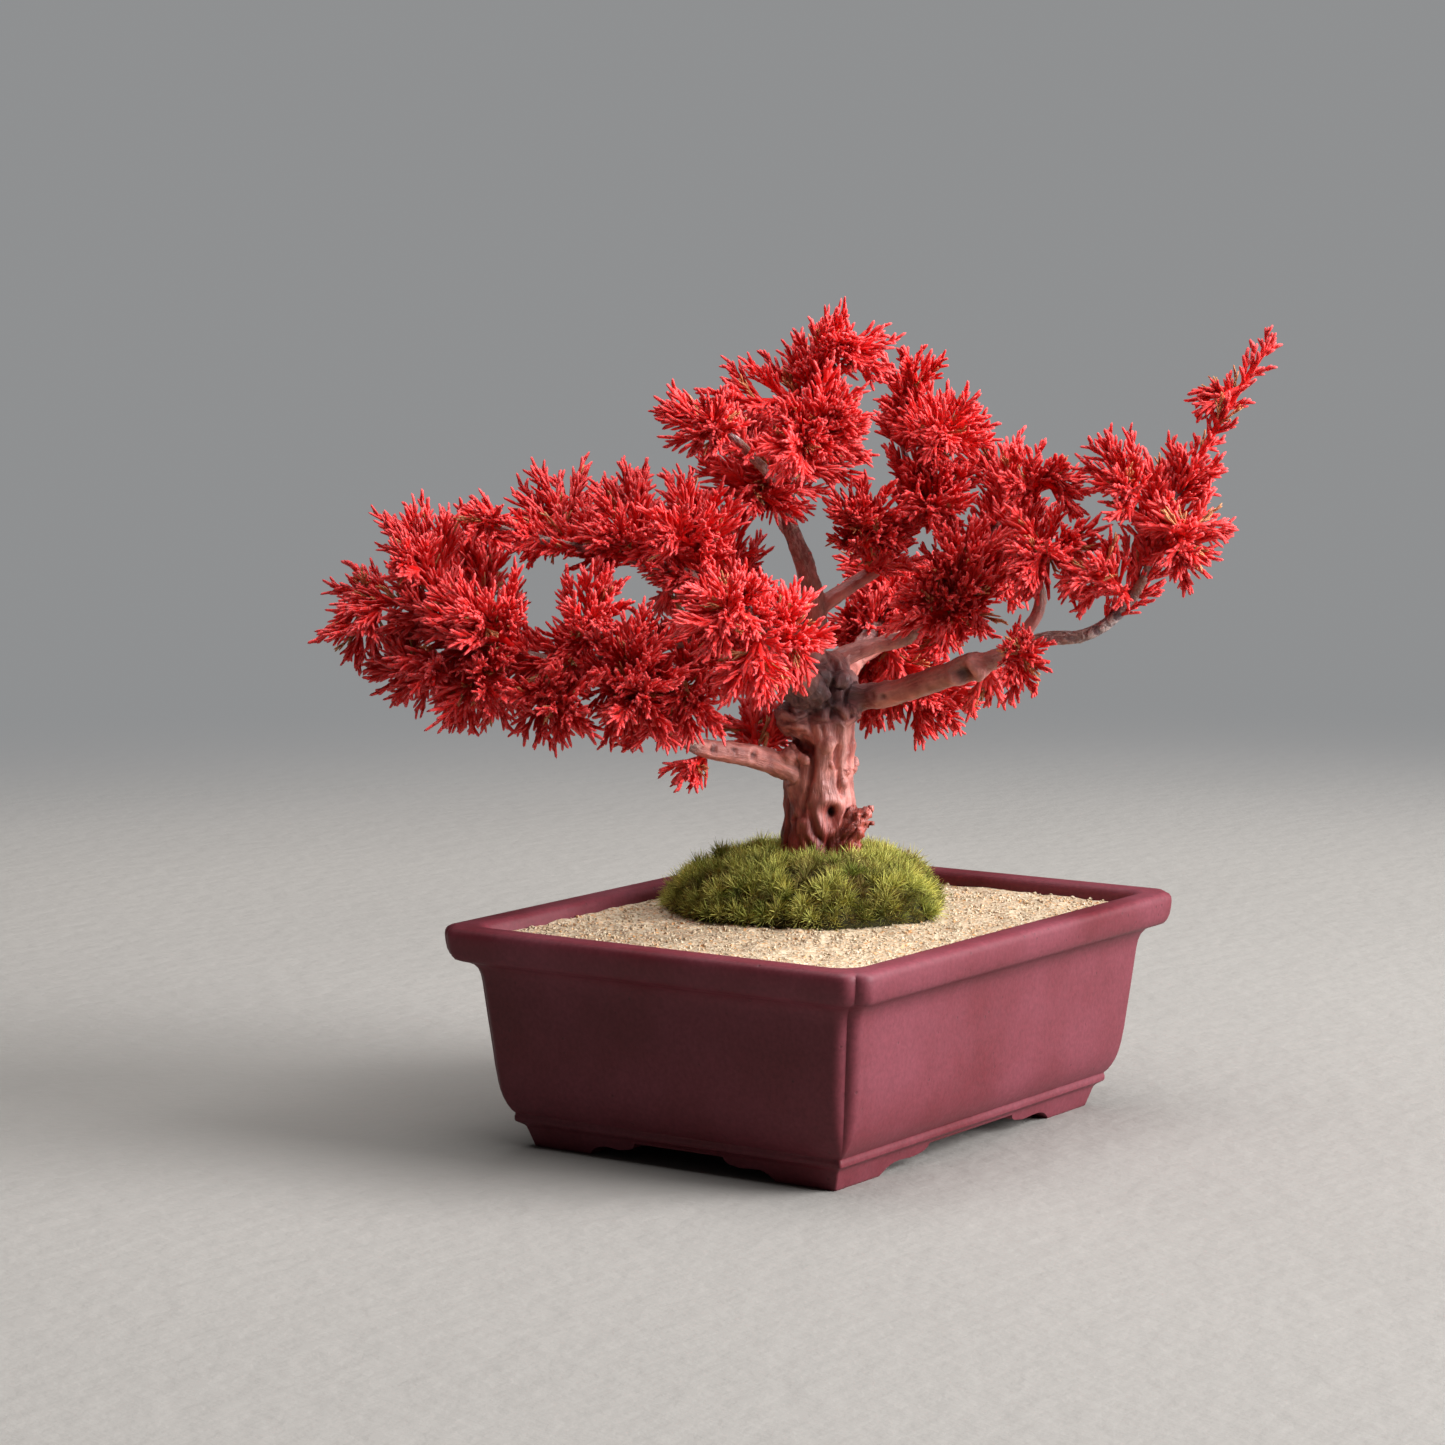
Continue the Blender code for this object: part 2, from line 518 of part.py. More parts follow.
def make_moss():
    """Tufted moss cushion round the trunk's base."""
    stump = tree_point(*TRUNK[0][:3])
    middle = Vector(tree_point(*MOSS_CENTRE, 0))
    low = SAND_TOP + GAP
    bm = bmesh.new()
    rows = [[], *([] for _ in range(MOSS_RINGS + 1)), []]
    for spoke in range(MOSS_SPOKES):
        angle = 2 * math.pi * spoke / MOSS_SPOKES
        edge = MOSS_RADIUS * (1 + 0.035 * math.sin(3 * angle + 1) + 0.03 * math.sin(7 * angle))
        away = Vector((math.cos(angle), math.sin(angle), 0))
        inner = Vector((stump.x, stump.y, 0)) + away * MOSS_HOLE_RADIUS
        outer = middle + away * edge
        rows[0].append(bm.verts.new((outer.x, outer.y, low)))
        for ring in range(MOSS_RINGS + 1):
            share = 1.0 - ring / MOSS_RINGS
            place = inner.lerp(outer, share)
            top = max(moss_height(place.x, place.y, share), MOSS_EDGE_HEIGHT)
            rows[ring + 1].append(bm.verts.new((place.x, place.y, low + top)))
        rows[-1].append(bm.verts.new((inner.x, inner.y, low)))
    for first, second in zip(rows, rows[1:] + rows[:1]):
        for i in range(MOSS_SPOKES):
            j = (i + 1) % MOSS_SPOKES
            bm.faces.new((first[i], first[j], second[j], second[i]))
    add_part("moss_mound", mesh_from(bm, "moss_mound"), "moss", 60)


def tube(name, route, radii, sides_level):
    """Closed mesh tube along a route, made from a poly curve with round bevel and filled caps."""
    curve = bpy.data.curves.new(name, "CURVE")
    curve.dimensions = "3D"
    curve.bevel_depth = 1.0
    curve.bevel_resolution = sides_level
    curve.use_fill_caps = True
    spline = curve.splines.new("POLY")
    spline.points.add(len(route) - 1)
    for point, place, radius in zip(spline.points, route, radii):
        point.co = (*place, 1.0)
        point.radius = radius
    holder = add_object(name, curve, CUTTERS)
    mesh = evaluated_mesh(holder)
    bpy.data.objects.remove(holder, do_unlink=True)
    bpy.data.curves.remove(curve)
    bm = bmesh.new()
    bm.from_mesh(mesh)
    bpy.data.meshes.remove(mesh)
    bmesh.ops.remove_doubles(bm, verts=bm.verts, dist=0.01 * MM)
    return mesh_from(bm, name)


def spike(name, start, end, start_radius, end_radius, sides):
    """Straight closed cone between two points."""
    bm = bmesh.new()
    along = end - start
    place = Matrix.Translation((start + end) / 2) @ along.to_track_quat("Z", "Y").to_matrix().to_4x4()
    bmesh.ops.create_cone(bm, cap_ends=True, segments=sides, radius1=start_radius, radius2=end_radius,
                          depth=along.length, matrix=place)
    return mesh_from(bm, name)


def ball(name, centre, radius, rings=6):
    """Closed low sphere."""
    bm = bmesh.new()
    bmesh.ops.create_uvsphere(bm, u_segments=rings + 2, v_segments=rings, radius=radius,
                              matrix=Matrix.Translation(centre))
    return mesh_from(bm, name)


def trunk_ring(across, towards, up, radius):
    """One ring of the trunk, with ridges that wind slowly upwards above the ground."""
    centre = tree_point(across, towards, up)
    swell = min(1.0, max(0.0, (up - RIDGES_START) / RIDGES_GROW_OVER))
    ring = []
    for i in range(TRUNK_SIDES):
        angle = 2 * math.pi * i / TRUNK_SIDES
        wave = sum(share * math.sin(count * angle + turn * up) for count, share, turn in TRUNK_RIDGES)
        reach = radius * MM * (1 + swell * wave)
        ring.append((centre.x + reach * math.cos(angle), centre.y + reach * math.sin(angle), centre.z))
    return ring


def make_wood():
    """Trunk, root stump and all limbs, fused as one grown piece."""
    trunk = loft("trunk_and_branches", [trunk_ring(*row) for row in TRUNK])
    wood = add_part("trunk_and_branches", trunk, "bark")
    pieces = make_collection("wood_pieces")
    for name, rows in LIMBS.items():
        route = [tree_point(*row[:3]) for row in rows]
        radii = [row[3] * MM for row in rows]
        sides_level = 2 if max(radii) > 3.9 * MM else 1
        add_object(f"limb_{name}", tube(name, route, radii, sides_level), pieces)
    for i, (across, towards, up, radius) in enumerate(KNOBS + [KNOT_COLLAR]):
        add_object(f"knob_{i}", ball(f"knob_{i}", tree_point(across, towards, up), radius * MM), pieces)
    for i, (root, tip) in enumerate(STUBS):
        start, end = tree_point(*root[:3]), tree_point(*tip[:3])
        add_object(f"stub_{i}", spike(f"stub_{i}", start, end, root[3] * MM, tip[3] * MM, 7), pieces)
    fuse(wood, pieces)
    bpy.data.collections.remove(pieces)
    hollow = ball("knot_hollow", tree_point(*KNOT_HOLLOW[:3]), KNOT_HOLLOW[3] * MM)
    cut(wood, add_cutter("knot_hollow", hollow), "MANIFOLD")
    wood.data.shade_smooth()
    wood.data.set_sharp_from_angle(angle=math.radians(50))


class Room:
    """Keeps what is already taken, as round-ended rods, and tells whether a new rod is clear."""

    def __init__(self):
        self.starts, self.ends, self.radii, self.owners = [], [], [], []

    def take(self, start, end, radius, owner):
        """Mark a rod as taken by a node."""
        self.starts.append(tuple(start))
        self.ends.append(tuple(end))
        self.radii.append(radius)
        self.owners.append(owner)

    def clear(self, start, end, radius, owners):
        """True where a rod keeps the gap to every rod of other owners."""
        p, d1 = np.array(start), np.array(end) - np.array(start)
        keep = np.array([owner not in owners for owner in self.owners])
        if not keep.any():
            return True
        q = np.array(self.starts)[keep]
        d2 = np.array(self.ends)[keep] - q
        r = p - q
        a, e = d1 @ d1, np.einsum("ij,ij->i", d2, d2)
        b, c = d2 @ d1, r @ d1
        f = np.einsum("ij,ij->i", d2, r)
        below = np.maximum(a * e - b * b, 1e-18)
        s = np.clip((b * f - c * e) / below, 0, 1)
        t = np.clip((b * s + f) / np.maximum(e, 1e-12), 0, 1)
        s = np.clip((b * t - c) / max(a, 1e-12), 0, 1)
        apart = np.linalg.norm(r + s[:, None] * d1 - t[:, None] * d2, axis=1)
        return bool(np.all(apart >= radius + np.array(self.radii)[keep] + GAP))


def wood_room():
    """Room with the trunk, limbs, knobs and stubs already taken."""
    room = Room()
    rows = [TRUNK, *LIMBS.values(), *([root, tip] for root, tip in STUBS)]
    for row in rows:
        for low, high in zip(row, row[1:]):
            radius = max(low[3], high[3]) * MM * WOOD_ALLOWANCE
            room.take(tree_point(*low[:3]), tree_point(*high[:3]), radius, "wood")
    for across, towards, up, radius in KNOBS:
        place = tree_point(across, towards, up)
        room.take(place, place + Vector((0, 0, 1e-6)), radius * MM, "wood")
    return room


def root_on_limb(limb, along, tip):
    """Root of a spray, just off the limb's bark, and the direction in which it leaves."""
    rows = LIMBS[limb]
    first = min(int(along), len(rows) - 2)
    share = along - first
    low, high = tree_point(*rows[first][:3]), tree_point(*rows[first + 1][:3])
    lengthwise = (high - low).normalized()
    place = low.lerp(high, share)
    if along >= len(rows) - 1:
        return place + lengthwise * GAP, lengthwise
    radius = (rows[first][3] * (1 - share) + rows[first + 1][3] * share) * MM
    out = tip - place
    out -= lengthwise * out.dot(lengthwise)
    out.normalize()
    return place + out * (radius + GAP), out


def bow(start, out, tip, push):
    """Route from a root that leaves along a direction and bends over to a tip."""
    length = (tip - start).length
    rise = Vector((0, 0, KNEE_UP * length))
    knee = start.lerp(tip, KNEE_SHARE) + out * (KNEE_OUT * length) + rise + push
    first = start + out * TWIG_ROOT
    route = [start]
    for step in range(TWIG_STEPS):
        t = step / (TWIG_STEPS - 1)
        route.append(first * (1 - t) ** 2 + knee * (2 * t * (1 - t)) + tip * (t * t))
    return route


def twig_radii(count):
    """Radii along a twig, slimmer towards its tip."""
    root, tip = TWIG_RADIUS
    return [root + (tip - root) * i / (count - 1) for i in range(count)]


def in_crown(place):
    """True inside the crown's limits across X and Y."""
    return abs(place.x) <= CROWN_HALF[0] and abs(place.y) <= CROWN_HALF[1]


def grow_twig(rng, room, owner, start, out, tip):
    """Twig route to a tip, bent or shortened until it is clear of the other nodes."""
    for attempt in range(BEND_TRIES):
        push = Vector([rng.uniform(-1, 1) for _ in range(3)]) * (BEND_STEP * attempt)
        shorter = start.lerp(tip, 1.0 - TWIG_SHRINK_STEP * max(0, attempt - TRIES_AT_FULL_LENGTH))
        route = bow(start, out, shorter, push)
        radii = twig_radii(len(route))
        leaves_bark = route[1].lerp(route[2], ROOT_IN_BARK)
        freed = [leaves_bark, *route[2:]]
        root_clear = room.clear(route[0], route[1], radii[0], (owner, "wood"))
        rods = zip(freed, freed[1:], radii[1:])
        if root_clear and all(room.clear(low, high, radius, (owner,)) for low, high, radius in rods):
            return route
    return None


def point_along(route, share):
    """Place and direction at a share of a route's points."""
    spot = share * (len(route) - 1)
    first = min(int(spot), len(route) - 2)
    return route[first].lerp(route[first + 1], spot - first), (route[first + 1] - route[first]).normalized()


def grow_cords(rng, room, owner, route, spread, count):
    """Short cords round a twig on all sides, each turned or shortened until it is clear."""
    cords = []
    azimuth = rng.uniform(0, 2 * math.pi)
    for i in range(count):
        share = CORD_SPAN[0] + (CORD_SPAN[1] - CORD_SPAN[0]) * i / (count - 1)
        place, along = point_along(route, share)
        side = along.orthogonal().normalized()
        azimuth += GOLDEN_TURN
        reach = spread * MM * CORD_LENGTH * (1.0 - CORD_SHORTENING * share)
        radius = CORD_RADIUS[0] + (CORD_RADIUS[1] - CORD_RADIUS[0]) * share
        for attempt in range(CORD_TRIES):
            turned = Matrix.Rotation(azimuth + attempt * CORD_TURN_STEP, 3, along) @ side
            size = reach * (1.0 - CORD_SHRINK_STEP * attempt)
            tip = place + (along * math.cos(CORD_ANGLE) + turned * math.sin(CORD_ANGLE)) * size
            free_from = place.lerp(tip, CORD_IN_TWIG)
            if in_crown(tip) and room.clear(free_from, tip, radius, (owner,)):
                cords.append((place, tip, radius))
                break
    return cords


def grow_spray(rng, room, name, limb, along, tips):
    """Twigs and cords of one spray: a slim fork with cords on all sides."""
    twigs, cords = [], []
    for i, (across, towards, up, spread) in enumerate(tips):
        tip = tree_point(across, towards, up)
        if i == 0:
            start, out = root_on_limb(limb, along, tip)
        else:
            start, out = point_along(twigs[0], SIDE_TWIG_START + SIDE_TWIG_STEP * (i - 1))
        route = grow_twig(rng, room, name, start, out, tip)
        if route is None:
            continue
        twigs.append(route)
        cords += grow_cords(rng, room, name, route, spread, CORD_COUNTS[min(i, 1)])
    return twigs, cords


def is_sound(mesh):
    """True where every edge has two faces once near-equal points are merged, and no faces cross."""
    bm = bmesh.new()
    bm.from_mesh(mesh)
    bmesh.ops.triangulate(bm, faces=bm.faces)
    bmesh.ops.remove_doubles(bm, verts=bm.verts, dist=SOUND_MERGE)
    sound = all(len(edge.link_faces) == 2 for edge in bm.edges)
    bm.faces.ensure_lookup_table()
    tree = BVHTree.FromBMesh(bm)
    for first, second in tree.overlap(tree):
        if first < second and not set(bm.faces[first].verts) & set(bm.faces[second].verts):
            sound = False
    bm.free()
    return sound


def build_spray(name, twigs, cords, keep):
    """Fuse one spray's twigs and cords into one body."""
    main = add_part(name, tube(name, twigs[0], twig_radii(len(twigs[0])), 0), "foliage")
    pieces = make_collection(f"{name}_pieces")
    for i, route in enumerate(twigs[1:]):
        add_object(f"{name}_twig_{i}", tube(f"{name}_twig_{i}", route, twig_radii(len(route)), 0), pieces)
    for i, (start, end, radius) in enumerate(cords):
        add_object(f"{name}_cord_{i}", spike(f"{name}_cord_{i}", start, end, radius, 0, 3), pieces)
    fuse(main, pieces, keep)
    bpy.data.collections.remove(pieces)
    return main


def make_spray(number, room, name, limb, along, tips):
    """Make one spray from the first seed that fuses soundly, and return its twigs and cords."""
    for attempt in range(SEEDS_PER_SPRAY):
        rng = random.Random(number + attempt * len(SPRAYS))
        twigs, cords = grow_spray(rng, room, name, limb, along, tips)
        for keep in (SPRAY_FACES_KEPT, 1.0):
            spray = build_spray(name, twigs, cords, keep)
            if is_sound(spray.data):
                return twigs, cords
            bpy.data.objects.remove(spray, do_unlink=True)
    raise RuntimeError(f"{name} does not fuse")


def make_foliage():
    """All foliage sprays, in order along their limbs."""
    room = wood_room()
    counts = {}
    for number, (limb, along, tips) in enumerate(SPRAYS):
        counts[limb] = counts.get(limb, 0) + 1
        name = f"spray_{limb}_{counts[limb]}"
        twigs, cords = make_spray(number, room, name, limb, along, tips)
        for route in twigs:
            for low, high, radius in zip(route, route[1:], twig_radii(len(route))):
                room.take(low, high, radius, name)
        for start, end, radius in cords:
            room.take(start, end, radius, name)


clear_scene()
PARTS = make_collection("shimpaku_juniper_bonsai")
CUTTERS = make_collection("cutters")
make_pot()
make_screens()
make_soil()
make_sand()
make_moss()
make_wood()
make_foliage()
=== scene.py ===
"""Looks of a red shimpaku juniper bonsai in an unglazed rectangular pot.

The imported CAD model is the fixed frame. Lengths are metres in the frame's axes: the origin is the
pot's centre on the surface that it stands on, +X runs along the pot's long side and +Z is up. The
tree's places are millimetres across, towards and up, in a frame turned about the origin so that the
widest spread of the crown lies over the pot's diagonal.
"""

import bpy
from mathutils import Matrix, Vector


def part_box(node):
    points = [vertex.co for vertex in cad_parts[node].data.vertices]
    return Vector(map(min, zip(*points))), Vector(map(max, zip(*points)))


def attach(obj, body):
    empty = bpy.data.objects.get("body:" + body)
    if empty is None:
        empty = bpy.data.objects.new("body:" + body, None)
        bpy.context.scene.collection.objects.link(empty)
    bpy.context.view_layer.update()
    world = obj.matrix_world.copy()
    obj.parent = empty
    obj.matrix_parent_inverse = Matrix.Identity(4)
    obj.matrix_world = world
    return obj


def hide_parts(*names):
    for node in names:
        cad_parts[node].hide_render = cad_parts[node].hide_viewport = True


bl_info = {
    "name": "Red Juniper Bonsai",
    "version": (1, 0, 0),
    "blender": (4, 5, 0),
    "location": "View3D > Sidebar > Bonsai",
    "description": "Finishes a potted juniper bonsai with bark, foliage, moss, sand and stoneware",
    "category": "Add Mesh",
}

import math
import random

import bmesh
import bpy
import numpy as np
from bpy.props import FloatProperty, FloatVectorProperty, IntProperty, PointerProperty
from bpy.types import Operator, Panel, PropertyGroup
from mathutils import Matrix, Vector
from mathutils.bvhtree import BVHTree

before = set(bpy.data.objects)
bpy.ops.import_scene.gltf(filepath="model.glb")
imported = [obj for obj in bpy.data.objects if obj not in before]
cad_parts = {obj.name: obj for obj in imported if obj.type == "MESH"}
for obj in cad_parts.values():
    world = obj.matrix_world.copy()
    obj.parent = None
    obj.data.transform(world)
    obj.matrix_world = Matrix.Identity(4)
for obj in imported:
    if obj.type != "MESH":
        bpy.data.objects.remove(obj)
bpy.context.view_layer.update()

MM = 0.001
BODY = "root"
BATCH = 60
SAND_TOP = 49 * MM

# Pot: outer wall from the foot up as inset from the lip, height, lobe radius and lobe turn
POT_LENGTH = 150 * MM
POT_WIDTH = 120 * MM
FLOOR_TOP = 10.5 * MM
FLOOR_UNDERSIDE = 6.3 * MM
FOOT_THICKNESS = 6.0 * MM
OUTER_WALL = [
    (17.5, 0.0, 0.6, 45), (17.2, 0.25, 0.6, 45), (17.0, 0.8, 0.6, 45), (15.8, 4.6, 0.6, 45),
    (15.65, 5.0, 0.6, 45), (15.2, 5.5, 0.6, 45), (14.2, 6.1, 0.6, 45), (13.75, 6.4, 0.7, 45),
    (13.6, 6.8, 0.7, 45), (13.6, 7.6, 0.7, 45), (13.75, 8.0, 0.7, 45), (13.7, 8.4, 0.8, 46),
    (12.9, 9.2, 1.0, 50), (11.9, 10.6, 1.4, 59), (11.0, 12.2, 1.8, 64), (10.3, 14.0, 2.1, 68),
    (9.7, 16.0, 2.4, 72), (9.0, 19.8, 2.6, 75), (8.4, 24.0, 2.8, 78), (7.9, 28.5, 2.8, 79),
    (7.4, 33.0, 2.8, 80), (7.0, 37.0, 2.8, 80), (6.7, 40.0, 2.8, 80), (6.4, 42.0, 2.8, 80),
    (5.9, 43.6, 2.8, 80), (4.9, 44.9, 2.9, 80), (3.6, 45.55, 3.1, 80), (2.3, 45.9, 3.3, 80),
    (1.4, 46.3, 3.3, 80), (0.8, 47.1, 3.4, 80), (0.35, 48.4, 3.4, 80), (0.1, 50.2, 3.4, 80),
    (0.0, 51.8, 3.4, 80), (0.15, 52.8, 3.3, 80), (0.6, 53.5, 3.2, 79), (1.3, 53.9, 3.1, 77),
    (2.2, 54.0, 3.0, 74),
]
INNER_WALL = [(5.2, 54.0), (6.2, 53.9), (6.9, 53.5), (7.4, 52.8), (7.7, 51.8), (9.0, 46.0),
              (11.0, 32.0), (13.0, 20.0), (15.2, 13.4), (16.6, 11.2), (18.6, 10.5)]
INNER_CORNER = 6.5
LOBE_STEPS = 9
SIDE_STEPS = 14
# Half outline of the opening between two feet: share of its cusp's length, height
CUSP = [(1.0, -1.0), (1.0, 0.0), (0.97, 0.6), (0.93, 1.1), (0.88, 1.7), (0.82, 2.2), (0.74, 2.55),
        (0.64, 2.7), (0.52, 2.6), (0.40, 2.4), (0.30, 2.4), (0.22, 2.6), (0.14, 2.8), (0.08, 3.1),
        (0.03, 3.7), (0.0, 4.6)]
LONG_APRON = 19 * MM
LONG_CUSP = 20 * MM
SHORT_APRON = 12.5 * MM
SHORT_CUSP = 14 * MM
DRAIN_PLACES = (-29 * MM, 29 * MM)
DRAIN_RADIUS = 6.0 * MM
DRAIN_SIDES = 40

# Tree: the frame's turn, and the trunk's and the limbs' points as across, towards, up and radius
TREE_TURN = math.radians(-55.67)
TRUNK = [(1, -22, 32, 8.4), (1, -22, 42, 9.0), (1, -22, 50, 10.0), (1, -22, 54, 9.9), (1, -22, 60, 9.5),
         (1, -22, 66, 9.1), (1, -22, 72, 8.7), (1, -22, 79, 8.5), (1, -22, 86, 8.1), (2, -22, 92, 8.0),
         (2, -22, 98, 8.2), (3, -23, 104, 7.6), (3, -23, 109, 5.4)]
LIMBS = {
    "low_left": [(-1, -20, 83, 3.6), (-9, -17, 87, 3.1), (-17, -12, 90, 2.7), (-26, -6, 92, 2.3),
                 (-32, 0, 95, 1.8), (-39, 5, 99, 1.4)],
    "right": [(4, -22, 102, 4.3), (13, -18, 103.4, 2.8), (22, -12, 106.2, 2.8), (30, -5, 109.8, 3.0),
              (37, 0, 112.8, 2.9), (45, 4, 116, 2.1), (54, 6, 120, 1.7), (63, 8, 121, 1.6),
              (70, 9, 125, 1.5), (76, 9, 132, 1.3), (80, 9, 141, 1.1), (83, 9, 150, 1.0),
              (88, 8, 159, 0.9)],
    "mid": [(3, -26, 104, 3.6), (5, -30, 111, 2.5), (14, -33, 114.5, 1.9), (23, -32, 117, 1.8),
            (30, -28, 123, 1.7), (36, -24, 129, 1.7), (41, -20, 137, 1.4), (45, -18, 147, 1.1)],
    "mid_right": [(45, 4, 116, 1.8), (53, 2, 126, 1.5), (53, 0, 134, 1.3), (51, -2, 142, 1.1),
                  (50, -4, 151, 0.9)],
    "leader": [(2, -22, 101, 5.2), (-1, -20, 112, 3.6), (0, -20, 120, 3.0), (-1, -20, 129, 2.6),
               (-3, -21, 137, 2.3), (-6, -22, 144, 2.0), (-7, -23, 153, 1.7), (-5, -24, 163, 1.4),
               (-1, -24, 173, 1.1), (0, -23, 182, 0.9)],
    "leader_fork": [(0, -20, 125, 2.2), (8, -24, 130, 1.8), (17, -28, 136, 1.6), (22, -32, 145, 1.4),
                    (23, -34, 156, 1.1), (22, -36, 165, 0.9)],
    "up_left": [(-1, -20, 117, 2.6), (-10, -14, 124, 2.1), (-22, -6, 131, 1.7), (-36, 2, 137, 1.4),
                (-50, 8, 141, 1.2), (-64, 12, 144, 1.2), (-77, 14, 148, 0.9)],
    "left": [(1, -20, 100, 4.4), (-8, -12, 109, 3.2), (-18, -4, 115, 2.8), (-28, 4, 119, 2.4),
             (-40, 10, 120, 2.0), (-52, 15, 117, 1.7), (-63, 18, 116, 1.5), (-73, 20, 119, 1.3),
             (-84, 20, 124, 1.2), (-95, 18, 128, 0.9)],
    "front": [(0, -18, 103, 3.8), (-6, 2, 114, 2.6), (-11, 18, 121, 2.1), (-15, 32, 127, 1.7),
              (-19, 44, 132, 1.2)],
    "back": [(4, -28, 103, 3.8), (9, -42, 109, 2.8), (14, -54, 114, 2.3), (18, -64, 120, 1.8),
             (20, -72, 125, 1.2)],
    "back_left": [(1, -28, 104, 3.4), (-7, -40, 112, 2.5), (-16, -52, 118, 2.0), (-25, -62, 123, 1.6),
                  (-32, -70, 128, 1.1)],
    "back_right": [(10, -44, 110, 2.2), (22, -52, 116, 1.7), (34, -58, 123, 1.4), (44, -62, 128, 1.1)],
    "up_back": [(-3, -21, 138, 1.9), (-8, -34, 146, 1.5), (-12, -47, 153, 1.2), (-14, -58, 159, 1.0)],
    "up_front": [(-7, -23, 151, 1.7), (-11, -8, 158, 1.4), (-16, 4, 164, 1.2), (-22, 13, 171, 0.9)],
}
# Burl, knobs and the elbow's end on the wood: across, towards, up, radius
KNOBS = [
    (-5.5, -17, 98, 4.4), (-6.5, -15.5, 89.5, 2.2), (3, -14.6, 92, 2.0), (8.8, -17, 66.6, 2.3),
    (8, -17, 99.5, 3.2), (38.5, 1, 113.3, 3.3), (1.6, -16, 109, 2.4), (0, -15.6, 105.6, 1.9),
    (5.4, -16.4, 108, 2.0), (4.2, -15, 101.4, 1.7), (-3.2, -14.6, 96.2, 1.8), (-7.6, -14.8, 99.8, 1.6),
    (-3, -30, 76, 2.6), (8, -27, 86, 2.8),
]
# Torn stub and its splinters: root and tip, each across, towards, up and radius
STUBS = [
    ((4.0, -18.6, 65.5, 3.8), (11.0, -15.8, 72.9, 1.8)),
    ((6.0, -18.2, 72.4, 2.8), (12.2, -15.8, 74.1, 1.3)),
    ((5.5, -17.6, 74.6, 1.6), (13.1, -15.8, 75.3, 0.6)),
    ((10.6, -16.0, 72.6, 0.9), (14.1, -15.0, 72.7, 0.25)),
    ((8.0, -15.8, 69.4, 1.4), (12.4, -14.0, 72.6, 0.4)),
    ((9.6, -18.0, 72.6, 1.4), (13.8, -17.6, 76.0, 0.3)),
]
# Torn fibres on the stub: the same measures
FIBRES = [
    ((3.2, -16.0, 64.5, 1.8), (8.6, -13.8, 72.2, 1.0)),
    ((5.8, -15.4, 63.8, 1.9), (10.6, -13.7, 70.4, 0.9)),
    ((7.6, -15.2, 71.0, 1.1), (12.8, -14.4, 74.8, 0.5)),
    ((8.6, -15.0, 68.6, 1.0), (12.2, -13.7, 71.4, 0.3)),
    ((5.0, -15.0, 66.6, 0.8), (9.6, -13.6, 73.2, 0.3)),
    ((11.0, -15.6, 73.0, 0.9), (13.3, -14.6, 76.6, 0.25)),
    ((6.4, -15.6, 72.6, 1.0), (11.6, -14.4, 75.9, 0.3)),
]
# Small resin beads on the bark: across, towards, up, radius
BEADS = [
    (4.0, -14.3, 89.5, 1.0), (4.2, -14.1, 87.2, 0.9), (3.2, -14.4, 91.2, 0.7), (-2.4, -14.6, 88.4, 1.3),
    (-4.0, -15.0, 89.8, 1.1), (7.7, -16.4, 85.4, 1.3), (7.8, -17.0, 89.8, 1.2), (6.9, -15.6, 82.6, 0.8),
]
# Where the bark changes: the knot hole, the rough fork, the torn stub, and heights and places
KNOT = (3.1, -13.6, 75.2)
FORK_MIDDLE = (1, -17, 105.5)
FORK_REACH = (15, 18, 8.5)
TORN_MIDDLE = (9.5, -15.5, 70.5)
TORN_REACH = (5.5, 4.5, 6.5)
FOOT_TOP = 82
FOOT_FADE = 14
SHELTERED_TOP = 97
SHELTERED_END = -31
SHELTERED_FADE = 6
# Sockets and small scars on the limbs: across, towards, up, radius, depth
SCARS = [
    (35.2, 1.5, 111.5, 2.3, 2.0), (25.9, -6.5, 107.8, 1.0, 0.7), (16.3, -11.8, 104.0, 1.0, 0.6),
    (13.4, -13.6, 104.6, 1.1, 0.7), (-20.5, -7.8, 91.8, 0.9, 0.6), (-15.8, -10.2, 90.4, 1.0, 0.8),
    (-25.6, -4.2, 92.6, 1.0, 0.6), (-4.6, -14.2, 98.6, 1.2, 0.8), (0.5, -14.5, 107.5, 1.6, 1.3),
    (5.5, -16.5, 106.5, 1.2, 1.1),
]
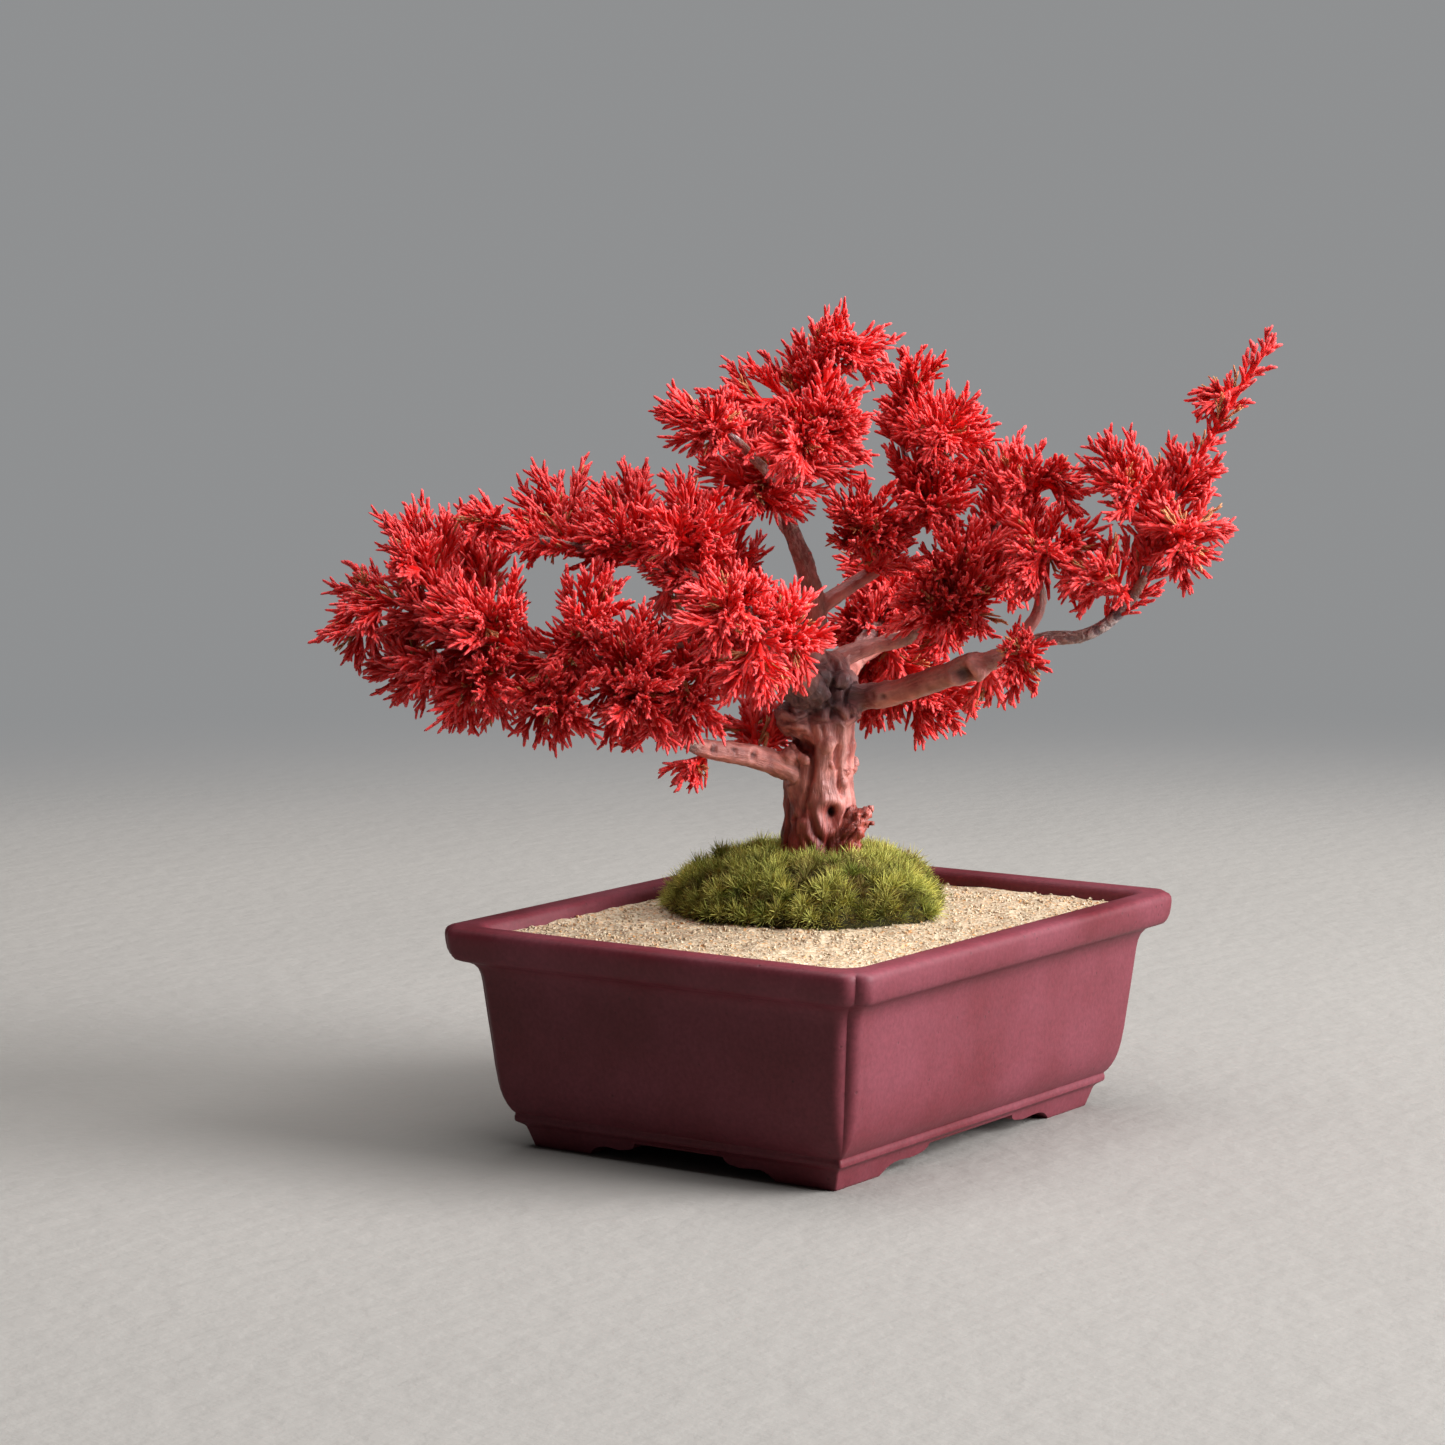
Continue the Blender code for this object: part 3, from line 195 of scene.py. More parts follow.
# Folds on the trunk's front: rise (a groove's is negative), half width, and places across and up
FOLDS = [
    (0.85, 2.2, [(3.6, 98), (3.1, 92), (2.4, 87), (2.1, 83), (2.3, 79)]),
    (-1.2, 0.75, [(-1.4, 91), (-0.8, 88), (-0.9, 85), (-1.5, 81.5), (-2.6, 78), (-3.0, 74.5)]),
    (0.6, 1.2, [(6.6, 97), (7.1, 90), (6.8, 84.6), (7.4, 79.5), (6.9, 76)]),
    (-1.0, 0.55, [(4.9, 92), (4.7, 88.5), (5.0, 85), (5.3, 81.5), (5.8, 79.5)]),
    (0.55, 2.3, [(-6.9, 86), (-4.9, 82.6), (-4.0, 77.6), (-4.0, 72.6), (-4.6, 66)]),
    (-0.9, 0.8, [(-7.5, 83), (-7.2, 76), (-6.6, 70), (-7.0, 63)]),
    (-0.7, 0.5, [(-1.5, 76.6), (-1.1, 73), (-0.4, 70.4), (1.3, 68.4)]),
    (0.5, 0.7, [(-3.0, 75), (-2.2, 70.6), (-0.6, 67.6), (0.4, 65)]),
    (-0.6, 0.5, [(-5.2, 74), (-4.6, 69), (-3.2, 65)]),
    (-0.5, 0.4, [(-2.4, 69), (-1.4, 66), (-1.4, 63)]),
    (-0.6, 0.5, [(3.6, 69), (2.6, 66.6), (2.2, 64)]),
    (-1.2, 2.4, [(10.8, 102), (10.8, 95), (10.6, 88)]),
    (-1.7, 1.4, [(-7.0, 93.4), (-4.4, 92.6), (-2.2, 91.2)]),
    (-0.7, 0.45, [(-8.2, 101.4), (-5.6, 99.6), (-2.4, 100.8)]),
    (-0.7, 0.45, [(-8.4, 98.6), (-6.0, 97.4), (-2.8, 98.0)]),
    (-0.6, 0.4, [(-7.8, 96.2), (-5.6, 95.2), (-3.4, 95.6)]),
    (-0.5, 0.4, [(-2.6, 103), (-1.4, 100), (-1.8, 96.6), (-0.4, 93.6)]),
    (-1.3, 0.8, [(5.4, 111), (3.4, 106), (4.4, 102), (3.6, 98.6)]),
    (-1.1, 0.7, [(-2.0, 110), (-0.4, 107), (-1.4, 103.6), (0.4, 100.6)]),
    (-0.9, 0.6, [(1.6, 103.4), (3.6, 100), (6.6, 98.4), (9.0, 99.6)]),
    (-0.8, 0.6, [(7.6, 104.8), (7.0, 101.6), (8.6, 99.6)]),
    (-0.5, 0.4, [(1.0, 97), (1.8, 93), (1.2, 90)]),
]
# Foliage sprays: the limb, how far along its points, and for each tip across, towards, up, spread.
# The first tips follow the CAD spray's, moved a few millimetres in ten sprays, and the others fill
# it with short side twigs. Across and up were picked on the photograph and converted to
# millimetres by a planning script, and towards is a guess.
SPRAYS = [
    ("low_left", 1.6, [(-17, -34, 101, 9), (-8, -44, 91, 8), (-24, -24, 98, 7)]),
    ("low_left", 3.0, [(-37, -8, 82, 6), (-31, 4, 83, 5)]),
    ("low_left", 5.0, [(-49, 14, 94, 8), (-49, -6, 103, 9)]),
    ("right", 4.4, [(42, -16, 102, 8), (47, -14, 106, 8)]),
    ("right", 5.0, [(52, 24, 118, 7), (46, 14, 103, 7), (50, 8, 113, 8), (43, 14, 119, 8),
                    (48, 22, 125, 8)]),
    ("right", 8.7, [(63, 26, 141, 9), (67, 4, 131, 8), (59, 14, 126, 8), (55, 22, 133, 8),
                    (69, 12, 144, 9)]),
    ("right", 9.9, [(90, 22, 150, 7), (97, 0, 140, 7), (89, 16, 130, 6), (77, 6, 137, 8),
                    (83, 22, 133, 8), (73, 16, 147, 8), (76, 8, 146, 9), (90, -4, 143, 8)]),
    ("right", 10.7, [(66, 10, 170, 8), (69, 28, 157, 9), (72, 20, 151, 8), (65, 2, 157, 8)]),
    ("right", 11.3, [(78, -14, 160, 7), (96, -2, 160, 8), (88, 2, 162, 8)]),
    ("right", 12.0, [(110, 8, 195, 4), (91, 8, 178, 5), (92, 8, 182, 4), (87, 8, 172, 6)]),
    ("mid", 4.3, [(39, 4, 127, 9), (32, 10, 144, 9), (21, 6, 132, 9), (15, 6, 124, 7), (25, -8, 118, 8),
                  (38, 0, 151, 9), (40, -2, 118, 8)]),
    ("mid", 5.8, [(53, -34, 151, 9), (54, -40, 130, 9), (46, -20, 143, 8), (45, -12, 126, 8)]),
    ("mid", 7.0, [(49, -14, 167, 8), (40, -36, 162, 9)]),
    ("mid_right", 2.5, [(63, 18, 147, 9), (45, 26, 136, 9), (46, 12, 129, 9), (52, 14, 139, 9),
                        (60, 6, 128, 9)]),
    ("mid_right", 4.0, [(58, 6, 164, 8), (43, 14, 156, 8), (67, 4, 154, 10), (64, 8, 148, 9)]),
    ("leader", 6.4, [(-20, -8, 153, 9), (-24, -30, 159, 9), (-10, -8, 161, 9), (-5, -6, 153, 8),
                     (-31, -10, 163, 8), (-1, -4, 148, 7)]),
    ("leader", 7.4, [(-1, 14, 168, 9), (7, 12, 178, 10), (-9, 20, 162, 8), (14, 0, 173, 10),
                     (12, -4, 164, 9)]),
    ("leader", 8.2, [(-12, -16, 176, 8), (-6, -40, 184, 9), (-29, -8, 176, 8), (-14, -20, 171, 8)]),
    ("leader", 9.0, [(0, -22, 197, 7), (12, -8, 190, 9), (18, -6, 182, 8)]),
    ("leader_fork", 1.6, [(8, 4, 153, 9), (20, 2, 144, 9), (4, -10, 145, 7), (13, -24, 140, 7),
                          (26, -8, 145, 8)]),
    ("leader_fork", 3.1, [(35, -10, 157, 9), (27, 4, 149, 9), (20, -10, 163, 8), (25, -16, 143, 8)]),
    ("leader_fork", 4.2, [(42, -18, 174, 9), (28, 4, 170, 9), (17, -12, 169, 9)]),
    ("leader_fork", 5.0, [(30, -36, 178, 8), (22, -20, 189, 9), (16, -22, 177, 8), (18, -30, 169, 8)]),
    ("up_left", 1.7, [(-29, -28, 149, 10), (-39, -34, 134, 10), (-11, -16, 133, 8)]),
    ("up_left", 2.4, [(-31, 16, 154, 9), (-39, 32, 146, 10), (-21, 14, 143, 9), (-35, 4, 158, 8),
                      (-40, -4, 152, 8)]),
    ("up_left", 3.4, [(-54, 28, 150, 9), (-45, -6, 161, 9), (-55, 20, 141, 8)]),
    ("up_left", 4.7, [(-64, 0, 150, 9), (-72, -14, 147, 9), (-56, -24, 152, 9), (-66, 12, 142, 7),
                      (-61, 4, 139, 8), (-71, 8, 137, 8), (-67, 0, 143, 9)]),
    ("up_left", 6.0, [(-86, 10, 152, 7), (-74, 28, 142, 8)]),
    ("left", 2.4, [(-28, 30, 134, 10), (-19, 34, 118, 9), (-14, 6, 130, 8)]),
    ("left", 3.4, [(-37, 22, 96, 10), (-27, 44, 108, 10), (-40, 30, 106, 8)]),
    ("left", 4.5, [(-47, 34, 98, 10), (-40, 54, 111, 10), (-42, 46, 128, 10), (-45, 50, 116, 8)]),
    ("left", 5.2, [(-58, 30, 127, 10), (-49, 26, 141, 9), (-61, 38, 108, 8), (-62, 30, 117, 8),
                   (-50, 42, 128, 9)]),
    ("left", 6.2, [(-66, 30, 96, 9), (-55, 50, 106, 9), (-70, 34, 109, 8), (-66, 28, 114, 8)]),
    ("left", 6.5, [(-85, -14, 106, 10), (-68, -10, 106, 9)]),
    ("left", 6.9, [(-86, 44, 131, 10), (-70, 40, 133, 9), (-93, 24, 134, 9), (-81, 40, 122, 9)]),
    ("left", 7.2, [(-92, -14, 138, 10), (-84, -6, 152, 9)]),
    ("left", 7.5, [(-85, 26, 98, 9), (-74, 44, 110, 9), (-79, 32, 106, 8), (-96, 22, 119, 8)]),
    ("left", 7.9, [(-103, 14, 105, 8), (-91, 36, 111, 9), (-108, 4, 111, 8), (-101, 14, 119, 9),
                   (-104, 16, 126, 9)]),
    ("left", 8.3, [(-104, 6, 150, 10), (-100, 34, 141, 9), (-96, 20, 143, 8)]),
    ("left", 9.0, [(-115, 2, 132, 7), (-111, 24, 122, 9), (-115, -6, 124, 7), (-111, 18, 112, 8),
                   (-106, 16, 131, 9)]),
    ("front", 2.4, [(-2, 44, 121, 9), (-5, 30, 132, 9), (-9, 22, 136, 8), (-7, 14, 109, 7)]),
    ("front", 3.2, [(-13, 52, 109, 9), (-25, 46, 110, 9), (-9, 34, 116, 8)]),
    ("front", 4.0, [(-27, 66, 122, 9), (-20, 58, 141, 9)]),
    ("back", 2.6, [(31, -62, 86, 8), (44, -52, 95, 8), (29, -56, 96, 8), (37, -48, 94, 8)]),
    ("back", 3.2, [(13, -92, 108, 9), (15, -66, 86, 9), (15, -48, 118, 9), (9, -54, 112, 9),
                   (21, -72, 106, 9), (21, -60, 93, 8), (11, -78, 111, 9)]),
    ("back", 4.0, [(23, -86, 132, 10), (8, -92, 129, 10), (20, -52, 117, 9), (12, -66, 119, 9),
                   (6, -78, 123, 9)]),
    ("back_left", 2.9, [(-29, -86, 108, 10), (-15, -66, 97, 9), (-24, -84, 140, 10),
                        (-20, -50, 126, 8)]),
    ("back_left", 4.0, [(-45, -88, 132, 10), (-38, -90, 116, 9)]),
    ("back_right", 1.8, [(38, -72, 110, 9), (32, -76, 133, 9), (26, -62, 118, 9), (30, -58, 107, 8),
                         (19, -66, 111, 9), (35, -54, 119, 9)]),
    ("back_right", 3.0, [(56, -62, 134, 9), (53, -58, 119, 9)]),
    ("up_back", 2.1, [(1, -72, 169, 10), (7, -66, 154, 9), (17, -60, 160, 10), (11, -60, 159, 8)]),
    ("up_back", 3.0, [(-25, -80, 166, 10), (-12, -60, 175, 10)]),
    ("up_front", 3.0, [(-31, 30, 166, 9), (-41, 16, 177, 8), (-18, 34, 173, 9)]),
]

# Camera: the photograph's viewpoint, the point it looks at, and its lens
CAMERA_PLACE = (-0.84704, -0.55054, 0.21627)
CAMERA_TARGET = (-0.01297, 0.01899, 0.0993)
CAMERA_LENS = 104.64
CAMERA_SENSOR = 36.0

# Foliage: the fronds' lengths in millimetres, the turn from one to the next, the steps in a twig,
# and how far along a limb its bark stays free of short shoots
FROND_SIZES = (7, 10, 13, 16, 19)
FROND_TURN = math.radians(137.5)
TWIG_STEPS = 8
BARE_UNTIL = {"low_left": 99, "right": 8}

# Moss: the mound's middle in the tree's millimetres, and how far its tufts reach from it
MOSS_MIDDLE = (-2, -22, 0)
CARPET_REACH = 34.3 * MM
CLUMP_REACH = 33.5 * MM
FLANK_START = 60 * MM
GRAIN_FREE = 30 * MM
CLUMP_TURN = 2.39996
BLADE_TURN = 2.4


def tree_point(across, towards, up):
    """Place in the frame of a point given in the tree's millimetres."""
    x = across * math.cos(TREE_TURN) + towards * math.sin(TREE_TURN)
    y = across * math.sin(TREE_TURN) - towards * math.cos(TREE_TURN)
    return Vector((x, y, up)) * MM


def tree_coordinates(places):
    """Across, towards and up in millimetres of rows of places in the frame."""
    across = places[:, 0] * math.cos(TREE_TURN) + places[:, 1] * math.sin(TREE_TURN)
    towards = places[:, 0] * math.sin(TREE_TURN) - places[:, 1] * math.cos(TREE_TURN)
    return np.column_stack([across, towards, places[:, 2]]) / MM


def as_mesh(name, bm):
    """New mesh of a bmesh, which is freed."""
    mesh = bpy.data.meshes.new(name)
    bm.to_mesh(mesh)
    bm.free()
    return mesh


def linked(name, data):
    """New object of some data, linked to the scene."""
    made = bpy.data.objects.new(name, data)
    bpy.context.scene.collection.objects.link(made)
    return made


def add_piece(name, source, material, replaced=()):
    """Link a bmesh or mesh as a piece of the object that rides on the frame."""
    mesh = as_mesh(name, source) if isinstance(source, bmesh.types.BMesh) else source
    mesh.materials.clear()
    mesh.materials.append(material)
    piece = linked(name, mesh)
    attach(piece, BODY)
    if replaced:
        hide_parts(*replaced)
    return piece


def finished_mesh(piece):
    """New mesh of an object as its modifiers leave it."""
    graph = bpy.context.evaluated_depsgraph_get()
    return bpy.data.meshes.new_from_object(piece.evaluated_get(graph))


def scratch_object(name, bm):
    """Object for a mesh that modifiers still have to finish, or for the stage."""
    return linked(name, as_mesh(name, bm))


def drop(made):
    """Remove a scratch object with its mesh."""
    mesh = made.data
    bpy.data.objects.remove(made, do_unlink=True)
    bpy.data.meshes.remove(mesh)


def paste(bm, mesh, matrix):
    """Join a copy of a mesh to a bmesh, placed by a matrix."""
    before = len(bm.verts)
    bm.from_mesh(mesh)
    bm.verts.ensure_lookup_table()
    bmesh.ops.transform(bm, matrix=matrix, verts=bm.verts[before:])


def join(bm, extra):
    """Join a second bmesh to the first one, and free the second."""
    carrier = as_mesh("carrier", extra)
    bm.from_mesh(carrier)
    bpy.data.meshes.remove(carrier)
    return bm


def heap(placements):
    """Bmesh of many placed copies of meshes, joined in batches so that each join stays short."""
    whole = bmesh.new()
    for first in range(0, len(placements), BATCH):
        batch = bmesh.new()
        for mesh, matrix in placements[first:first + BATCH]:
            paste(batch, mesh, matrix)
        join(whole, batch)
    return whole


def aim(direction, roll=0.0):
    """Turn that takes +Z to a direction, with a roll about it."""
    turn = Vector(direction).to_track_quat("Z", "Y").to_matrix().to_4x4()
    return turn @ Matrix.Rotation(roll, 4, "Z")


def smooth_route(rows, step):
    """Points and radii on a smooth curve through rows of a place and a radius, in metres."""
    places = [tree_point(*row[:3]) for row in rows]
    radii = [row[3] * MM for row in rows]
    ends = [places[0] * 2 - places[1], *places, places[-1] * 2 - places[-2]]
    route, girths = [], []
    for i in range(len(places) - 1):
        p0, p1, p2, p3 = ends[i:i + 4]
        count = max(1, round((p2 - p1).length / step))
        for k in range(count):
            t = k / count
            bend = (p2 - p0) * t + (p0 * 2 - p1 * 5 + p2 * 4 - p3) * t ** 2
            bend += (p1 * 3 - p0 - p2 * 3 + p3) * t ** 3
            route.append(p1 + bend * 0.5)
            girths.append(radii[i] + (radii[i + 1] - radii[i]) * t)
    return [*route, places[-1]], [*girths, radii[-1]]


def add_tube(bm, route, radii, sides):
    """Sweep a ring along a route, with closed ends."""
    ahead = (route[1] - route[0]).normalized()
    turn = ahead.to_track_quat("Z", "Y")
    ring = bmesh.ops.create_circle(bm, cap_ends=True, segments=sides, radius=radii[0],
                                   matrix=Matrix.Translation(route[0]) @ turn.to_matrix().to_4x4())["verts"]
    cap = ring[0].link_faces[0]
    for i in range(1, len(route)):
        back = (route[i] - route[i - 1]).normalized()
        onward = (route[min(i + 1, len(route) - 1)] - route[i - 1]).normalized()
        onward = onward if onward.length > 0 else back
        bend = ahead.rotation_difference(onward)
        grown = bmesh.ops.extrude_face_region(bm, geom=[cap])["geom"]
        ring = [item for item in grown if isinstance(item, bmesh.types.BMVert)]
        cap = next(item for item in grown if isinstance(item, bmesh.types.BMFace))
        scale = Matrix.Diagonal((radii[i] / radii[i - 1],) * 3).to_4x4()
        move = Matrix.Translation(route[i]) @ bend.to_matrix().to_4x4() @ scale
        bmesh.ops.transform(bm, matrix=move @ Matrix.Translation(-route[i - 1]), verts=ring)
        ahead = onward


# Smooth noise for shaping meshes


def lattice(corners, seed):
    """Repeatable value from 0 to 1 for each whole-number lattice corner."""
    mixed = corners[..., 0] * 374761393 + corners[..., 1] * 668265263 + corners[..., 2] * 2147483647
    mixed = (mixed + seed * 1274126177) & 0xFFFFFFFF
    mixed = ((mixed ^ (mixed >> 13)) * 1274126177) & 0xFFFFFFFF
    return ((mixed ^ (mixed >> 16)) & 0xFFFF) / 65535.0


def value_noise(points, seed):
    """Smooth noise from 0 to 1 with one feature for each unit, at rows of points."""
    base = np.floor(points).astype(np.int64)
    part = points - base
    part = part * part * (3 - 2 * part)
    total = np.zeros(len(points))
    for corner_number in range(8):
        offset = np.array([corner_number & 1, corner_number >> 1 & 1, corner_number >> 2 & 1])
        weight = np.prod(np.where(offset, part, 1 - part), axis=1)
        total += weight * lattice(base + offset, seed)
    return total


def ridges(points, seed):
    """Noise with sharp crests, from 0 to 1."""
    return 1 - np.abs(2 * value_noise(points, seed) - 1)


# Materials


def shader_node(tree, kind, inputs=None, **settings):
    """Add a node, with its sockets set to values or linked to other sockets."""
    made = tree.nodes.new(kind)
    for key, value in settings.items():
        setattr(made, key, value)
    for key, value in (inputs or {}).items():
        if isinstance(value, bpy.types.NodeSocket):
            tree.links.new(value, made.inputs[key])
        else:
            made.inputs[key].default_value = value
    return made


def blank_material(name, roughness, specular=0.5):
    """Return a material, its tree, its Principled shader and the object coordinates."""
    material = bpy.data.materials.new(name)
    material.use_nodes = True
    tree = material.node_tree
    shader = tree.nodes["Principled BSDF"]
    shader.inputs["Roughness"].default_value = roughness
    shader.inputs["Specular IOR Level"].default_value = specular
    place = shader_node(tree, "ShaderNodeTexCoord").outputs["Object"]
    return material, tree, shader, place


def rescaled(tree, value, low, high, start=0.0, end=1.0, **settings):
    """Value taken from one range to another and held at its ends."""
    ends = {"Value": value, "From Min": low, "From Max": high, "To Min": start, "To Max": end}
    return shader_node(tree, "ShaderNodeMapRange", ends, **settings).outputs["Result"]


def noise_mask(tree, place, scale, detail=3.0, low=0.35, high=0.65, rough=0.55):
    """Noise stretched so that it runs from 0 to 1 between two of its values."""
    cloud = shader_node(tree, "ShaderNodeTexNoise", {"Vector": place, "Scale": scale, "Detail": detail,
                                                     "Roughness": rough})
    return rescaled(tree, cloud.outputs["Fac"], low, high)


def blend_colours(tree, share, first, second, mode="MIX"):
    """Mix of two colours or colour sockets by a share."""
    mix = tree.nodes.new("ShaderNodeMix")
    mix.data_type = "RGBA"
    mix.blend_type = mode
    for socket, value in ((mix.inputs[0], share), (mix.inputs[6], first), (mix.inputs[7], second)):
        if isinstance(value, bpy.types.NodeSocket):
            tree.links.new(value, socket)
        else:
            socket.default_value = value if isinstance(value, (int, float)) else (*value[:3], 1.0)
    return mix.outputs[2]


def arithmetic(tree, operation, first, second):
    """Result of a math node on two values or sockets."""
    return shader_node(tree, "ShaderNodeMath", {0: first, 1: second}, operation=operation).outputs[0]


def raise_surface(tree, shader, height, distance, strength=1.0):
    """Bump the shader's surface by a height socket over a distance in metres."""
    bump = shader_node(tree, "ShaderNodeBump", {"Height": height, "Distance": distance,
                                                "Strength": strength})
    tree.links.new(bump.outputs["Normal"], shader.inputs["Normal"])


def speckle_group():
    """Node group: small round specks or pits, as a mask, with their size and how many show."""
    name = "speckles"
    if name in bpy.data.node_groups:
        return bpy.data.node_groups[name]
    group = bpy.data.node_groups.new(name, "ShaderNodeTree")
    group.interface.new_socket("Vector", in_out="INPUT", socket_type="NodeSocketVector")
    group.interface.new_socket("Scale", in_out="INPUT", socket_type="NodeSocketFloat")
    group.interface.new_socket("Share", in_out="INPUT", socket_type="NodeSocketFloat")
    group.interface.new_socket("Mask", in_out="OUTPUT", socket_type="NodeSocketFloat")
    given = group.nodes.new("NodeGroupInput").outputs
    cells = shader_node(group, "ShaderNodeTexVoronoi", {"Vector": given["Vector"], "Scale": given["Scale"]})
    dot = rescaled(group, cells.outputs["Distance"], 0.34, 0.12)
    chosen = arithmetic(group, "LESS_THAN", cells.outputs["Color"], given["Share"])
    result = group.nodes.new("NodeGroupOutput")
    group.links.new(arithmetic(group, "MULTIPLY", dot, chosen), result.inputs["Mask"])
    return group


def speckles(tree, place, scale, share):
    """Mask of specks from the shared group."""
    made = tree.nodes.new("ShaderNodeGroup")
    made.node_tree = speckle_group()
    tree.links.new(place, made.inputs["Vector"])
    made.inputs["Scale"].default_value = scale
    made.inputs["Share"].default_value = share
    return made.outputs["Mask"]


def stoneware_material(settings):
    """Unglazed purple-brown stoneware with paler rubbed patches and fine pits, which are painted near-black
    as painted shade in them.
    """
    material, tree, shader, place = blank_material("stoneware", 0.5, 0.25)
    broad = noise_mask(tree, place, 28, 4)
    fine = noise_mask(tree, place, 900, 2, 0.3, 0.7)
    colour = blend_colours(tree, broad, settings.dark, settings.light)
    grain = blend_colours(tree, fine, (0.86, 0.84, 0.85), (1.12, 1.10, 1.10))
    colour = blend_colours(tree, 1.0, colour, grain, "MULTIPLY")
    pits = speckles(tree, place, 700, 0.12)
    # The pits are painted near-black: painted shade in them.
    colour = blend_colours(tree, arithmetic(tree, "MULTIPLY", pits, 0.5), colour, (0.05, 0.015, 0.018))
    tree.links.new(colour, shader.inputs["Base Color"])
    tree.links.new(rescaled(tree, broad, 0, 1, 0.44, 0.56), shader.inputs["Roughness"])
    height = arithmetic(tree, "SUBTRACT", arithmetic(tree, "MULTIPLY", fine, 0.35), pits)
    raise_surface(tree, shader, height, 0.00006)
    return material


def sand_material(name, settings):
    """Pale quartz sand with darker, orange and glassy grains."""
    material, tree, shader, place = blank_material(name, 0.6, 0.5)
    cells = shader_node(tree, "ShaderNodeTexVoronoi", {"Vector": place, "Scale": 1500})
    tint = shader_node(tree, "ShaderNodeSeparateColor", {"Color": cells.outputs["Color"]}, mode="RGB")
    ramp = tree.nodes.new("ShaderNodeValToRGB")
    stops = ((0.0, settings.dark), (0.16, settings.body), (0.55, settings.light), (0.86, settings.body),
             (0.93, settings.orange), (1.0, settings.light))
    for number, (spot, colour) in enumerate(stops):
        stop = ramp.color_ramp.elements[number] if number < 2 else ramp.color_ramp.elements.new(spot)
        stop.position = spot
        stop.color = (*colour, 1.0)
    tree.links.new(tint.outputs[0], ramp.inputs[0])
    tree.links.new(ramp.outputs[0], shader.inputs["Base Color"])
    tree.links.new(rescaled(tree, tint.outputs[1], 0.75, 0.95, 0.7, 0.12), shader.inputs["Roughness"])
    raise_surface(tree, shader, cells.outputs["Distance"], 0.0003, 0.6)
    return material


def moss_material(settings):
    """Star moss: yellow-green tips over dark, brownish bases, with painted shade darkening the blades towards
    their roots.
    """
    material, tree, shader, place = blank_material("moss", 0.75, 0.12)
    leaf = blend_colours(tree, attribute_socket(tree, "tone"), settings.deep, settings.bright)
    leaf = blend_colours(tree, attribute_socket(tree, "withered"), leaf, settings.brown)
    patch = noise_mask(tree, place, 240, 2, 0.35, 0.65)
    shade = blend_colours(tree, patch, (0.78, 0.80, 0.78), (1.22, 1.16, 1.25))
    leaf = blend_colours(tree, 1.0, leaf, shade, "MULTIPLY")
    # Blades darken towards their roots and the bare mound is dark: painted shade deep in the cushion.
    tree.links.new(blend_colours(tree, attribute_socket(tree, "high"), settings.dark, leaf),
                   shader.inputs["Base Color"])
    return material


def attribute_socket(tree, name, output="Fac"):
    """Output of a named attribute."""
    return shader_node(tree, "ShaderNodeAttribute", attribute_name=name).outputs[output]


def bark_material(settings):
    """Satin red-brown bark with painted highlight on its crests and painted shade in its grooves, dark at the
    fork and greying along the limbs.
    """
    material, tree, shader, place = blank_material("bark", 0.45, 0.5)
    fibre = attribute_socket(tree, "fibre", "Vector")
    relief_shading = attribute_socket(tree, "relief_shading")
    stretched = shader_node(tree, "ShaderNodeMapping", {"Vector": fibre, "Scale": (1.0, 1.0, 0.14)})
    flaky = shader_node(tree, "ShaderNodeMapping", {"Vector": fibre, "Scale": (1.0, 1.0, 0.55)})
    flakes = noise_mask(tree, flaky.outputs["Vector"], 1.1, 3, 0.43, 0.6)
    lines = noise_mask(tree, stretched.outputs["Vector"], 0.7, 4, 0.28, 0.72, 0.55)
    hair = noise_mask(tree, stretched.outputs["Vector"], 3.4, 3, 0.3, 0.7, 0.6)
    broad = noise_mask(tree, place, 190, 3, 0.4, 0.62)
    patches = noise_mask(tree, place, 110, 4, 0.42, 0.62)
    live = blend_colours(tree, lines, settings.deep, settings.body)
    live = blend_colours(tree, arithmetic(tree, "MULTIPLY", hair, 0.2), live, settings.light)
    # Paler crests and darker grooves follow the carved relief: painted highlight on the crests and painted
    # shade in the grooves.
    live = blend_colours(tree, rescaled(tree, relief_shading, 0.45, 0.95, 0.0, 0.75), live, settings.light)
    live = blend_colours(tree, rescaled(tree, relief_shading, 0.42, 0.1, 0.0, 0.9), live, settings.deep)
    live = blend_colours(tree, arithmetic(tree, "MULTIPLY", broad, 0.5), live, settings.deep)
    shade = blend_colours(tree, attribute_socket(tree, "foot"), (1.0, 1.0, 1.0), (0.58, 0.25, 0.24))
    live = blend_colours(tree, 1.0, live, shade, "MULTIPLY")
    splinters = blend_colours(tree, lines, settings.deep, settings.torn)
    live = blend_colours(tree, attribute_socket(tree, "torn"), live, splinters)
    dark = blend_colours(tree, lines, settings.fork_dark, settings.fork)
    forked = arithmetic(tree, "MULTIPLY", attribute_socket(tree, "fork"), 0.92)
    live = blend_colours(tree, forked, live, dark)
    old = blend_colours(tree, flakes, settings.grey_dark, settings.grey)
    old = blend_colours(tree, arithmetic(tree, "MULTIPLY", patches, 0.7), old, settings.tan)
    mottled = arithmetic(tree, "MULTIPLY", patches, 0.45)
    share = rescaled(tree, arithmetic(tree, "ADD", attribute_socket(tree, "age"), mottled), 0.45, 1.0)
    colour = blend_colours(tree, share, live, old)
    # Painted shade in the knot hole and the scar sockets.
    colour = blend_colours(tree, attribute_socket(tree, "hollow_shade"), colour, settings.shadow)
    tree.links.new(colour, shader.inputs["Base Color"])
    tree.links.new(rescaled(tree, share, 0, 1, 0.40, 0.72), shader.inputs["Roughness"])
    height = arithmetic(tree, "ADD", lines, arithmetic(tree, "MULTIPLY", hair, 0.5))
    height = arithmetic(tree, "ADD", height, arithmetic(tree, "MULTIPLY", share, flakes))
    raise_surface(tree, shader, height, 0.00024)
    return material


